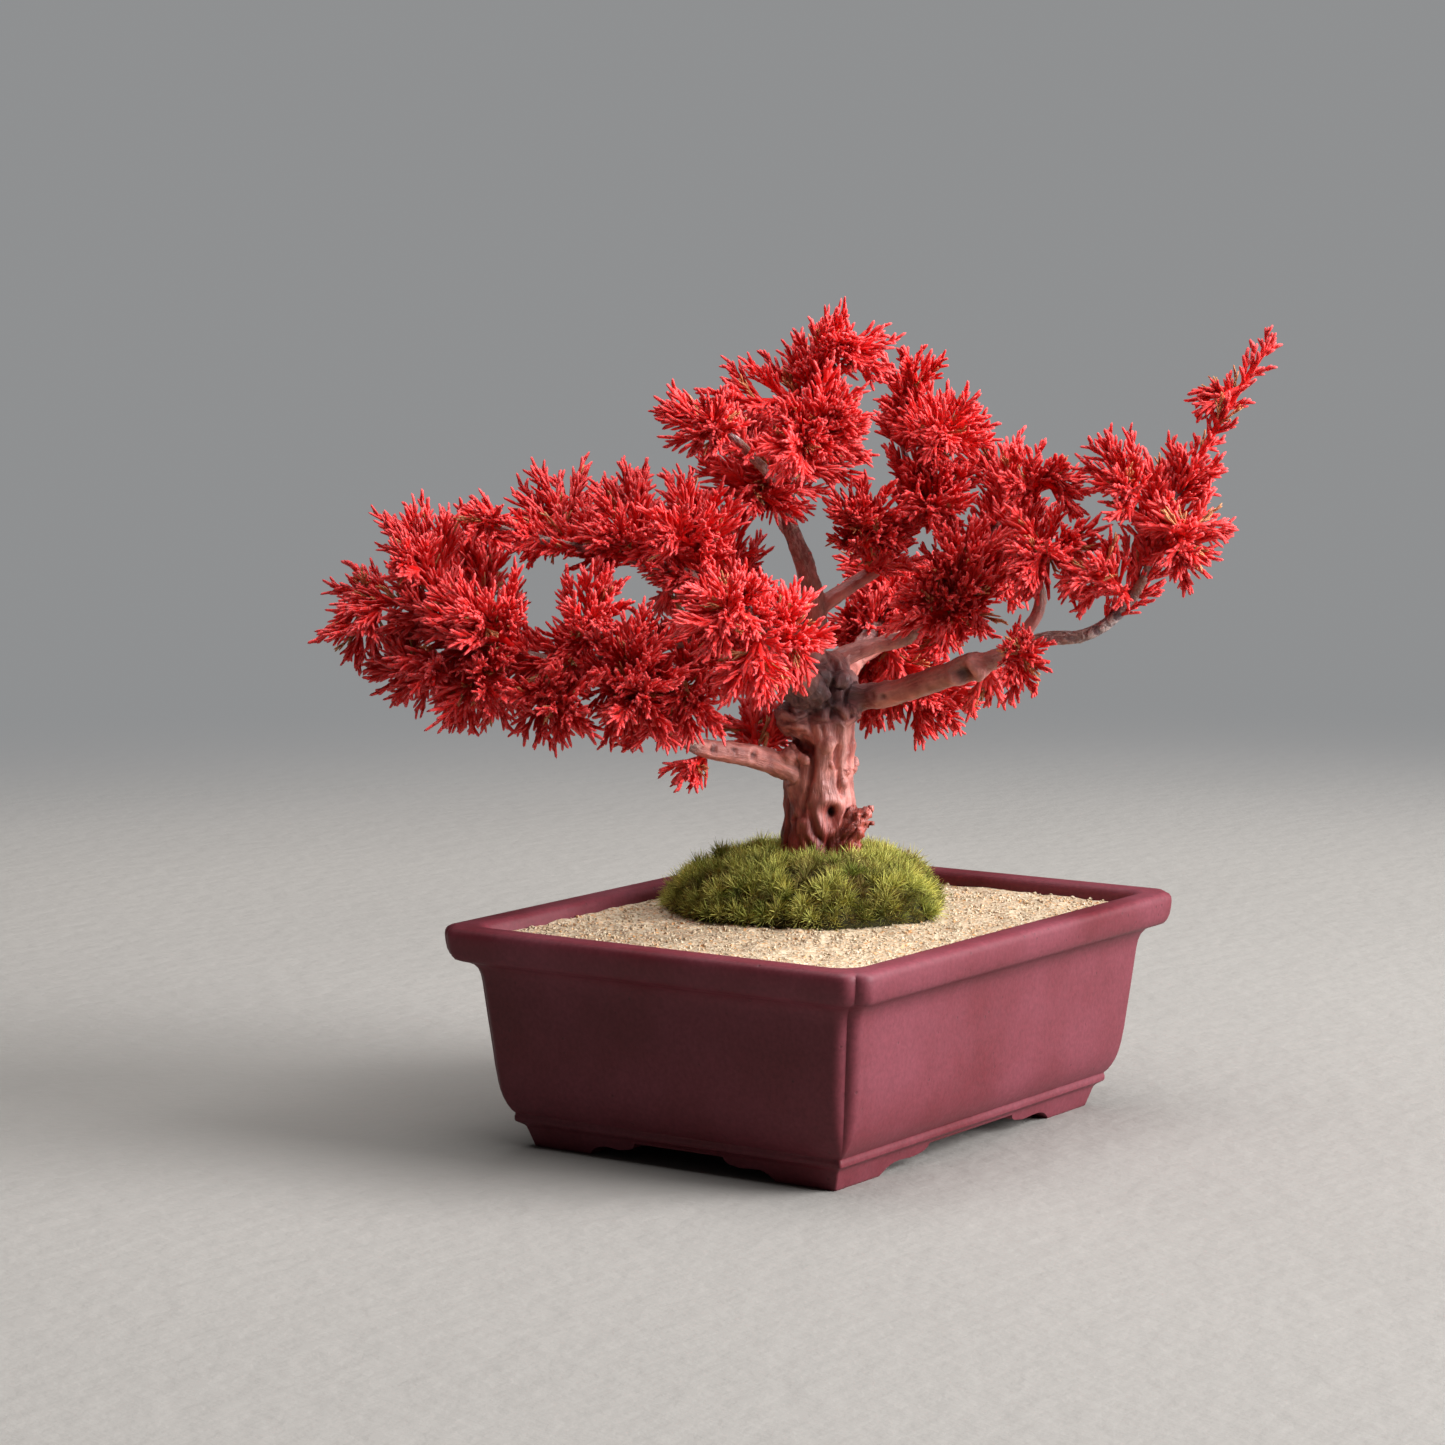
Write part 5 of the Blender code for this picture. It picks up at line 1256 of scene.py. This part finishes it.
def merged_copy(node):
    """Bmesh of a CAD node's mesh with its loose triangles joined."""
    bm = bmesh.new()
    bm.from_mesh(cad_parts[node].data)
    bmesh.ops.remove_doubles(bm, verts=bm.verts, dist=0.002 * MM)
    return join(bmesh.new(), bm)


def surface_below(tree, x, y):
    """Place and normal where a drop from above first meets a surface."""
    place, normal, _, _ = tree.ray_cast(Vector((x, y, 0.3)), Vector((0, 0, -1)))
    return place, normal


def carpet_tufts(rng, tufts, surface, settings):
    """Low dark tufts all over the mound, as rows of a tuft, its place, its tone and how withered."""
    middle = tree_point(*MOSS_MIDDLE)
    rows = []
    for _ in range(settings.carpet):
        turn, out = rng.uniform(0, 2 * math.pi), CARPET_REACH * rng.random() ** 0.3
        x, y = middle.x + math.cos(turn) * out, middle.y + math.sin(turn) * out
        place, normal = surface_below(surface, x, y)
        if place is None:
            continue
        tuft = rng.choice(tufts)
        matrix = Matrix.Translation(place - normal * 0.8 * MM) @ aim(normal, turn * 7) @ Matrix.Scale(0.85, 4)
        rows.append((tuft, matrix, rng.uniform(0.0, 0.35), rng.uniform(0.2, 0.9)))
    return rows


def flank_tufts(rng, tufts, surface, settings):
    """Tufts that lean out all round the mound's edge, as rows like the carpet's."""
    middle = tree_point(*MOSS_MIDDLE)
    rows = []
    for number in range(settings.flank):
        turn = 2 * math.pi * number / settings.flank * 7.03
        outward = Vector((math.cos(turn), math.sin(turn), 0))
        start = middle + outward * FLANK_START + Vector((0, 0, rng.uniform(49.6, 55.5) * MM))
        place, normal, _, _ = surface.ray_cast(start, -outward)
        if place is None:
            continue
        tuft = rng.choice(tufts)
        up = (normal + Vector((0, 0, 0.5))).normalized()
        scale = Matrix.Scale(rng.uniform(0.6, 0.9), 4)
        matrix = Matrix.Translation(place - normal * 1.0 * MM) @ aim(up, turn) @ scale
        rows.append((tuft, matrix, rng.uniform(0.1, 0.8), rng.random() ** 2))
    return rows


def clump_tufts(rng, tufts, surface, settings):
    """Domed clumps of tufts, fresh or withered together, as rows like the carpet's."""
    middle = tree_point(*MOSS_MIDDLE)
    rows = []
    for clump in range(settings.clumps):
        away = CLUMP_REACH * math.sqrt((clump + 0.5) / settings.clumps)
        angle = clump * CLUMP_TURN + rng.uniform(-0.3, 0.3)
        heart = middle + Vector((math.cos(angle), math.sin(angle), 0)) * away
        size = rng.uniform(3.4, 5.6) * MM
        fresh, dead, lift = rng.random(), rng.random() ** 3, rng.uniform(0.4, 2.4)
        for _ in range(settings.tufts):
            turn, out = rng.uniform(0, 2 * math.pi), math.sqrt(rng.random())
            offset = Vector((math.cos(turn), math.sin(turn), 0)) * (size * out)
            place, normal = surface_below(surface, heart.x + offset.x, heart.y + offset.y)
            if place is None:
                continue
            up = (normal * 0.7 + offset / size * 0.75 + Vector((0, 0, 0.35))).normalized()
            place = place + Vector((0, 0, 1)) * ((1 - out * out) * lift - 1.1) * MM
            tuft = rng.choice(tufts)
            scale = Matrix.Scale(rng.uniform(0.75, 1.15), 4)
            matrix = Matrix.Translation(place) @ aim(up, rng.uniform(0, 6.28)) @ scale
            tone = rng.gauss(0.36 + fresh * (0.8 - 0.35 * out), 0.32)
            withered = rng.gauss(dead * (0.3 + 0.7 * out), 0.12)
            rows.append((tuft, matrix, min(1.0, max(0.0, tone)), min(1.0, max(0.0, withered))))
    return rows


def moss_mesh(settings):
    """Moss cushion: the CAD mound under a carpet, a flank and clumps of star tufts."""
    rng = random.Random(41)
    tufts = [tuft_mesh(f"tuft_{number}", 50 + number, settings) for number in range(6)]
    bm = merged_copy("moss_mound")
    surface = BVHTree.FromBMesh(bm)
    bmesh.ops.translate(bm, verts=bm.verts, vec=(0, 0, -0.4 * MM))
    # The bare mound takes the roots' dark colour, as painted shade under the tufts.
    rows = [(as_mesh("moss_base", bm), Matrix.Identity(4), 0.0, 0.3)]
    for plant in (carpet_tufts, flank_tufts, clump_tufts):
        rows += plant(rng, tufts, surface, settings)
    mesh = as_mesh("moss_cushion", heap([row[:2] for row in rows]))
    counts = [len(row[0].vertices) for row in rows]
    set_attribute(mesh, "tone", np.repeat([row[2] for row in rows], counts))
    set_attribute(mesh, "withered", np.repeat([row[3] for row in rows], counts))
    return mesh


def grain_mesh(name, seed):
    """Small angular grain."""
    rng = random.Random(seed)
    bm = bmesh.new()
    bmesh.ops.create_icosphere(bm, subdivisions=1, radius=1.0)
    for vert in bm.verts:
        vert.co *= rng.uniform(0.72, 1.15)
    return as_mesh(name, bm)


def sand_grains_mesh(settings):
    """Loose grains half sunk in the sand's top, all over what the moss leaves bare."""
    rng = random.Random(77)
    grains = [grain_mesh(f"grain_{number}", 90 + number) for number in range(6)]
    sand = merged_copy("sand_layer")
    surface = BVHTree.FromBMesh(sand)
    low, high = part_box("sand_layer")
    sand.free()
    middle = tree_point(*MOSS_MIDDLE)
    placements = []
    while len(placements) < settings.grains:
        x, y = rng.uniform(low.x, high.x), rng.uniform(low.y, high.y)
        place, normal = surface_below(surface, x, y)
        if place is None or normal.z < 0.6 or math.hypot(x - middle.x, y - middle.y) < GRAIN_FREE:
            continue
        size = settings.grain_size * rng.choice((0.6, 0.75, 0.9, 1.0, 1.3))
        turn = aim((rng.uniform(-1, 1), rng.uniform(-1, 1), 1), rng.uniform(0, 6.28))
        placements.append((rng.choice(grains), Matrix.Translation(place) @ turn @ Matrix.Scale(size, 4)))
    return heap(placements)


def sand_bed_mesh():
    """Sand bed: the CAD layer with a finer, uneven top."""
    bm = merged_copy("sand_layer")
    bmesh.ops.triangulate(bm, faces=bm.faces)
    top = [edge for edge in bm.edges if min(vert.co.z for vert in edge.verts) > SAND_TOP]
    bmesh.ops.subdivide_edges(bm, edges=top, cuts=7, use_grid_fill=True)
    bm.normal_update()
    for vert in bm.verts:
        if vert.co.z > SAND_TOP and vert.normal.z > 0.6:
            spot = np.array([[vert.co.x, vert.co.y, 0.0]]) / MM
            lumps = value_noise(spot / 3.4, 21)[0] + 0.4 * value_noise(spot / 1.1, 22)[0]
            vert.co.z += (lumps - 0.7) * 0.75 * MM
    return bm


# Settings that a user would change


def colour_setting(name, description, default):
    """Property for a colour."""
    return FloatVectorProperty(name=name, description=description, default=default, subtype="COLOR",
                               min=0, max=1)


def length_setting(name, description, default, least=0):
    """Property for a length in metres."""
    return FloatProperty(name=name, description=description, default=default, unit="LENGTH", min=least,
                         precision=5)


def count_setting(name, description, default, least=0):
    """Property for a number of things."""
    return IntProperty(name=name, description=description, default=default, min=least)


class BonsaiPotSettings(PropertyGroup):
    dark: colour_setting("Dark body", "Darker colour of the stoneware", (0.112, 0.015, 0.021))
    light: colour_setting("Light body", "Lighter colour of the stoneware", (0.158, 0.033, 0.046))


class BonsaiSandSettings(PropertyGroup):
    grains: count_setting("Grains", "How many loose grains lie on the sand", 3000)
    grain_size: length_setting("Grain size", "Radius of a middling grain", 0.42 * MM)
    body: colour_setting("Grain", "Main colour of the sand", (0.44, 0.32, 0.195))
    light: colour_setting("Pale grain", "Colour of the pale grains", (0.62, 0.52, 0.37))
    dark: colour_setting("Dark grain", "Colour of the dark grains", (0.30, 0.20, 0.12))
    orange: colour_setting("Orange grain", "Colour of the rusty grains", (0.62, 0.30, 0.10))


class BonsaiMossSettings(PropertyGroup):
    clumps: count_setting("Clumps", "How many clumps of tufts cover the mound", 118, 1)
    tufts: count_setting("Tufts", "Star tufts in each clump", 8, 1)
    flank: count_setting("Flank", "Tufts round the cushion's edge", 330)
    carpet: count_setting("Carpet", "Low dark tufts between the clumps", 520)
    blades: count_setting("Blades", "Blades in each tuft", 24, 3)
    blade_length: length_setting("Blade length", "Length of a middling blade", 4.3 * MM)
    blade_radius: length_setting("Blade radius", "Radius of a blade at its root", 0.17 * MM)
    bright: colour_setting("Bright", "Colour of the freshest tufts", (1.0, 0.98, 0.23))
    deep: colour_setting("Deep", "Colour of the darkest green tufts", (0.20, 0.27, 0.034))
    brown: colour_setting("Brown", "Colour of withered tufts", (0.22, 0.12, 0.055))
    # The base colour is painted shade at the blades' roots and on the bare mound.
    dark: colour_setting("Base", "Colour at the blades' roots", (0.030, 0.026, 0.008))


class BonsaiWoodSettings(PropertyGroup):
    voxel: length_setting("Detail", "Edge length of the wood's finest facets", 0.58 * MM, 0.0002)
    root_count: count_setting("Roots", "Surface roots at the trunk's foot", 6, 1)
    body: colour_setting("Bark", "Main colour of the trunk", (0.78, 0.215, 0.165))
    # The pale fibre colour is also painted highlight on the crests, and the groove colour is also painted
    # shade in the grooves.
    light: colour_setting("Pale fibre", "Colour of the bark's crests", (0.88, 0.42, 0.36))
    deep: colour_setting("Groove", "Colour of the bark's grooves", (0.15, 0.022, 0.016))
    grey: colour_setting("Old bark", "Colour of weathered bark", (0.50, 0.37, 0.34))
    grey_dark: colour_setting("Old groove", "Colour of grooves in old bark", (0.15, 0.095, 0.10))
    tan: colour_setting("Flake", "Colour under the flakes", (0.34, 0.17, 0.11))
    fork: colour_setting("Fork", "Colour of the rough bark at the fork", (0.175, 0.095, 0.102))
    fork_dark: colour_setting("Fork groove", "Colour of the fork's grooves", (0.034, 0.015, 0.019))
    torn: colour_setting("Torn wood", "Colour of the torn stub", (0.46, 0.085, 0.055))
    # Painted shade inside the knot hole and the scar sockets.
    shadow: colour_setting("Knot", "Colour inside the knot hole", (0.035, 0.008, 0.007))


class BonsaiFoliageSettings(PropertyGroup):
    cord_radius: length_setting("Cord radius", "Radius of a scale-leaf cord", 0.6 * MM)
    frond_step: length_setting("Frond spacing", "Distance between fronds on a twig", 2.2 * MM, 0.0005)
    fullness: FloatProperty(name="Fullness", default=1.75, min=0.5,
                            description="Length of the longest fronds, in widths of their spray")
    variants: count_setting("Variants", "Different fronds of each length", 4, 1)
    tip_allowance: length_setting("Tip allowance", "How far the twigs end short of a spray's tips", 3.0 * MM)
    shoots: count_setting("Shoots", "Short fronds on the limb at each spray", 12)
    deep: colour_setting("Deep red", "Colour of the darkest cords", (0.96, 0.014, 0.011))
    body: colour_setting("Red", "Colour of the brightest cords", (0.97, 0.034, 0.026))
    # The tip colour is painted highlight on the cords' ends.
    tip: colour_setting("Tip", "Colour at the cords' tips", (0.64, 0.146, 0.158))
    dried: colour_setting("Dried", "Colour of dried cords", (0.50, 0.21, 0.09))
    twig: colour_setting("Twig", "Colour of the leafy twigs' bark", (0.46, 0.25, 0.18))
    twig_dark: colour_setting("Twig shade", "Darker bark of the leafy twigs", (0.18, 0.075, 0.055))


class BonsaiStageSettings(PropertyGroup):
    floor_colour: colour_setting("Floor", "Colour of the floor", (0.262, 0.245, 0.226))
    backdrop: colour_setting("Backdrop", "Colour of the surroundings", (0.275, 0.28, 0.285))
    ambient: colour_setting("Ambient", "Colour of the light from all round", (0.042, 0.042, 0.043))
    key_power: FloatProperty(name="Key light", description="Power of the large soft light", unit="POWER",
                             default=126.0, min=0)
    top_power: FloatProperty(name="Top light", description="Power of the soft light overhead", unit="POWER",
                             default=52.0, min=0)


# Operators, one for each piece or group of like pieces


class BONSAI_OT_make_pot(Operator):
    """Model the stoneware pot"""
    bl_idname = "bonsai.make_pot"
    bl_label = "Make Pot"

    def execute(self, context):
        material = stoneware_material(context.scene.bonsai_pot)
        add_piece("stoneware_pot", pot_mesh(), material, ["pot"])
        return {"FINISHED"}


class BONSAI_OT_make_filling(Operator):
    """Finish the soil and the drain screens"""
    bl_idname = "bonsai.make_filling"
    bl_label = "Make Filling"

    def execute(self, context):
        soil, screen = soil_material(), screen_material()
        dressed = {"soil_fill": soil, "drain_screen_left": screen, "drain_screen_right": screen}
        for name, material in dressed.items():
            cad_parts[name].data.materials.clear()
            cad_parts[name].data.materials.append(material)
        return {"FINISHED"}


class BONSAI_OT_make_sand(Operator):
    """Model the sand bed and its loose grains"""
    bl_idname = "bonsai.make_sand"
    bl_label = "Make Sand"

    def execute(self, context):
        settings = context.scene.bonsai_sand
        material = sand_material("sand", settings)
        add_piece("sand_bed", sand_bed_mesh(), material, ["sand_layer"])
        add_piece("sand_grains", sand_grains_mesh(settings), material)
        return {"FINISHED"}


class BONSAI_OT_make_moss(Operator):
    """Model the moss cushion with its tufts"""
    bl_idname = "bonsai.make_moss"
    bl_label = "Make Moss"

    def execute(self, context):
        settings = context.scene.bonsai_moss
        add_piece("moss_cushion", moss_mesh(settings), moss_material(settings), ["moss_mound"])
        return {"FINISHED"}


class BONSAI_OT_make_wood(Operator):
    """Model the trunk and branches with their bark"""
    bl_idname = "bonsai.make_wood"
    bl_label = "Make Wood"

    def execute(self, context):
        settings = context.scene.bonsai_wood
        add_piece("bark_wood", wood_mesh(settings), bark_material(settings), ["trunk_and_branches"])
        return {"FINISHED"}


class BONSAI_OT_make_foliage(Operator):
    """Model every foliage spray"""
    bl_idname = "bonsai.make_foliage"
    bl_label = "Make Foliage"

    def execute(self, context):
        settings = context.scene.bonsai_foliage
        leaves, twigs = foliage_material(settings), twig_material(settings)
        library, dried = frond_library(settings)
        counts = {}
        for number, (limb, along, tips) in enumerate(SPRAYS):
            counts[limb] = counts.get(limb, 0) + 1
            name = f"{limb}_{counts[limb]}"
            mesh = spray_mesh(f"foliage_{name}", number, library, dried, limb, along, tips, settings)
            piece = add_piece(f"foliage_{name}", mesh, leaves, [f"spray_{name}"])
            piece.data.materials.append(twigs)
        return {"FINISHED"}


class BONSAI_OT_make_stage(Operator):
    """Set up the floor, the lights and the camera"""
    bl_idname = "bonsai.make_stage"
    bl_label = "Make Stage"

    def execute(self, context):
        settings = context.scene.bonsai_stage
        make_floor(settings)
        make_lights(settings)
        make_camera()
        return {"FINISHED"}


def make_floor(settings):
    """Large round floor just under the feet."""
    bm = bmesh.new()
    bmesh.ops.create_circle(bm, cap_ends=True, segments=96, radius=1.2)
    floor = scratch_object("floor", bm)
    floor.data.materials.append(floor_material(settings))


def area_light(name, place, target, size, power, colour):
    """Square area light aimed at a point."""
    data = bpy.data.lights.new(name, "AREA")
    data.shape = "SQUARE"
    data.size = size
    data.energy = power
    data.color = colour
    light = linked(name, data)
    light.location = place
    light.rotation_euler = (Vector(target) - Vector(place)).to_track_quat("-Z", "Y").to_euler()


def make_lights(settings):
    """Large soft key from the picture's right, a soft light overhead, and even surroundings."""
    centre = (0, 0, 0.09)
    area_light("key", (0.72, -1.72, 0.95), centre, 1.5, settings.key_power, (0.97, 0.98, 1.0))
    area_light("top", (0.0, 0.0, 1.9), centre, 1.8, settings.top_power, (0.97, 0.985, 1.0))
    world = bpy.data.worlds.new("studio")
    bpy.context.scene.world = world
    world.use_nodes = True
    ambient = world.node_tree.nodes["Background"]
    ambient.inputs["Color"].default_value = (*settings.ambient, 1.0)
    seen = shader_node(world.node_tree, "ShaderNodeBackground", {"Color": (*settings.backdrop, 1.0)})
    camera_ray = shader_node(world.node_tree, "ShaderNodeLightPath").outputs["Is Camera Ray"]
    chosen = shader_node(world.node_tree, "ShaderNodeMixShader", {0: camera_ray})
    world.node_tree.links.new(ambient.outputs[0], chosen.inputs[1])
    world.node_tree.links.new(seen.outputs[0], chosen.inputs[2])
    world.node_tree.links.new(chosen.outputs[0], world.node_tree.nodes["World Output"].inputs["Surface"])
    bpy.context.scene.view_settings.view_transform = "Standard"


def make_camera():
    """Camera at the photograph's angle and distance."""
    data = bpy.data.cameras.new("camera")
    data.lens = CAMERA_LENS
    data.sensor_width = CAMERA_SENSOR
    data.clip_start = 0.01
    data.clip_end = 50.0
    camera = linked("camera", data)
    camera.location = CAMERA_PLACE
    ahead = Vector(CAMERA_TARGET) - Vector(CAMERA_PLACE)
    camera.rotation_euler = ahead.to_track_quat("-Z", "Y").to_euler()
    bpy.context.scene.camera = camera


class BONSAI_PT_pieces(Panel):
    """Lists the bonsai's pieces and their settings"""
    bl_idname = "BONSAI_PT_pieces"
    bl_label = "Bonsai"
    bl_space_type = "VIEW_3D"
    bl_region_type = "UI"
    bl_category = "Bonsai"

    def draw(self, context):
        for operator, group in STEPS:
            box = self.layout.box()
            box.operator(operator)
            if group:
                settings = getattr(context.scene, group)
                for key in settings.__annotations__:
                    box.prop(settings, key)


STEPS = [
    ("bonsai.make_pot", "bonsai_pot"),
    ("bonsai.make_filling", None),
    ("bonsai.make_sand", "bonsai_sand"),
    ("bonsai.make_moss", "bonsai_moss"),
    ("bonsai.make_wood", "bonsai_wood"),
    ("bonsai.make_foliage", "bonsai_foliage"),
    ("bonsai.make_stage", "bonsai_stage"),
]
SETTINGS = {
    "bonsai_pot": BonsaiPotSettings,
    "bonsai_sand": BonsaiSandSettings,
    "bonsai_moss": BonsaiMossSettings,
    "bonsai_wood": BonsaiWoodSettings,
    "bonsai_foliage": BonsaiFoliageSettings,
    "bonsai_stage": BonsaiStageSettings,
}
CLASSES = [*SETTINGS.values(), BONSAI_OT_make_pot, BONSAI_OT_make_filling, BONSAI_OT_make_sand,
           BONSAI_OT_make_moss, BONSAI_OT_make_wood, BONSAI_OT_make_foliage, BONSAI_OT_make_stage,
           BONSAI_PT_pieces]


def register():
    """Add the classes and the scene's settings."""
    for cls in CLASSES:
        bpy.utils.register_class(cls)
    for name, cls in SETTINGS.items():
        setattr(bpy.types.Scene, name, PointerProperty(type=cls))


def unregister():
    """Take the settings and the classes away again."""
    for name in SETTINGS:
        delattr(bpy.types.Scene, name)
    for cls in reversed(CLASSES):
        bpy.utils.unregister_class(cls)


def main():
    """Make every piece in order."""
    register()
    bpy.ops.bonsai.make_pot()
    bpy.ops.bonsai.make_filling()
    bpy.ops.bonsai.make_sand()
    bpy.ops.bonsai.make_moss()
    bpy.ops.bonsai.make_wood()
    bpy.ops.bonsai.make_foliage()
    bpy.ops.bonsai.make_stage()


if __name__ == "__main__":
    main()
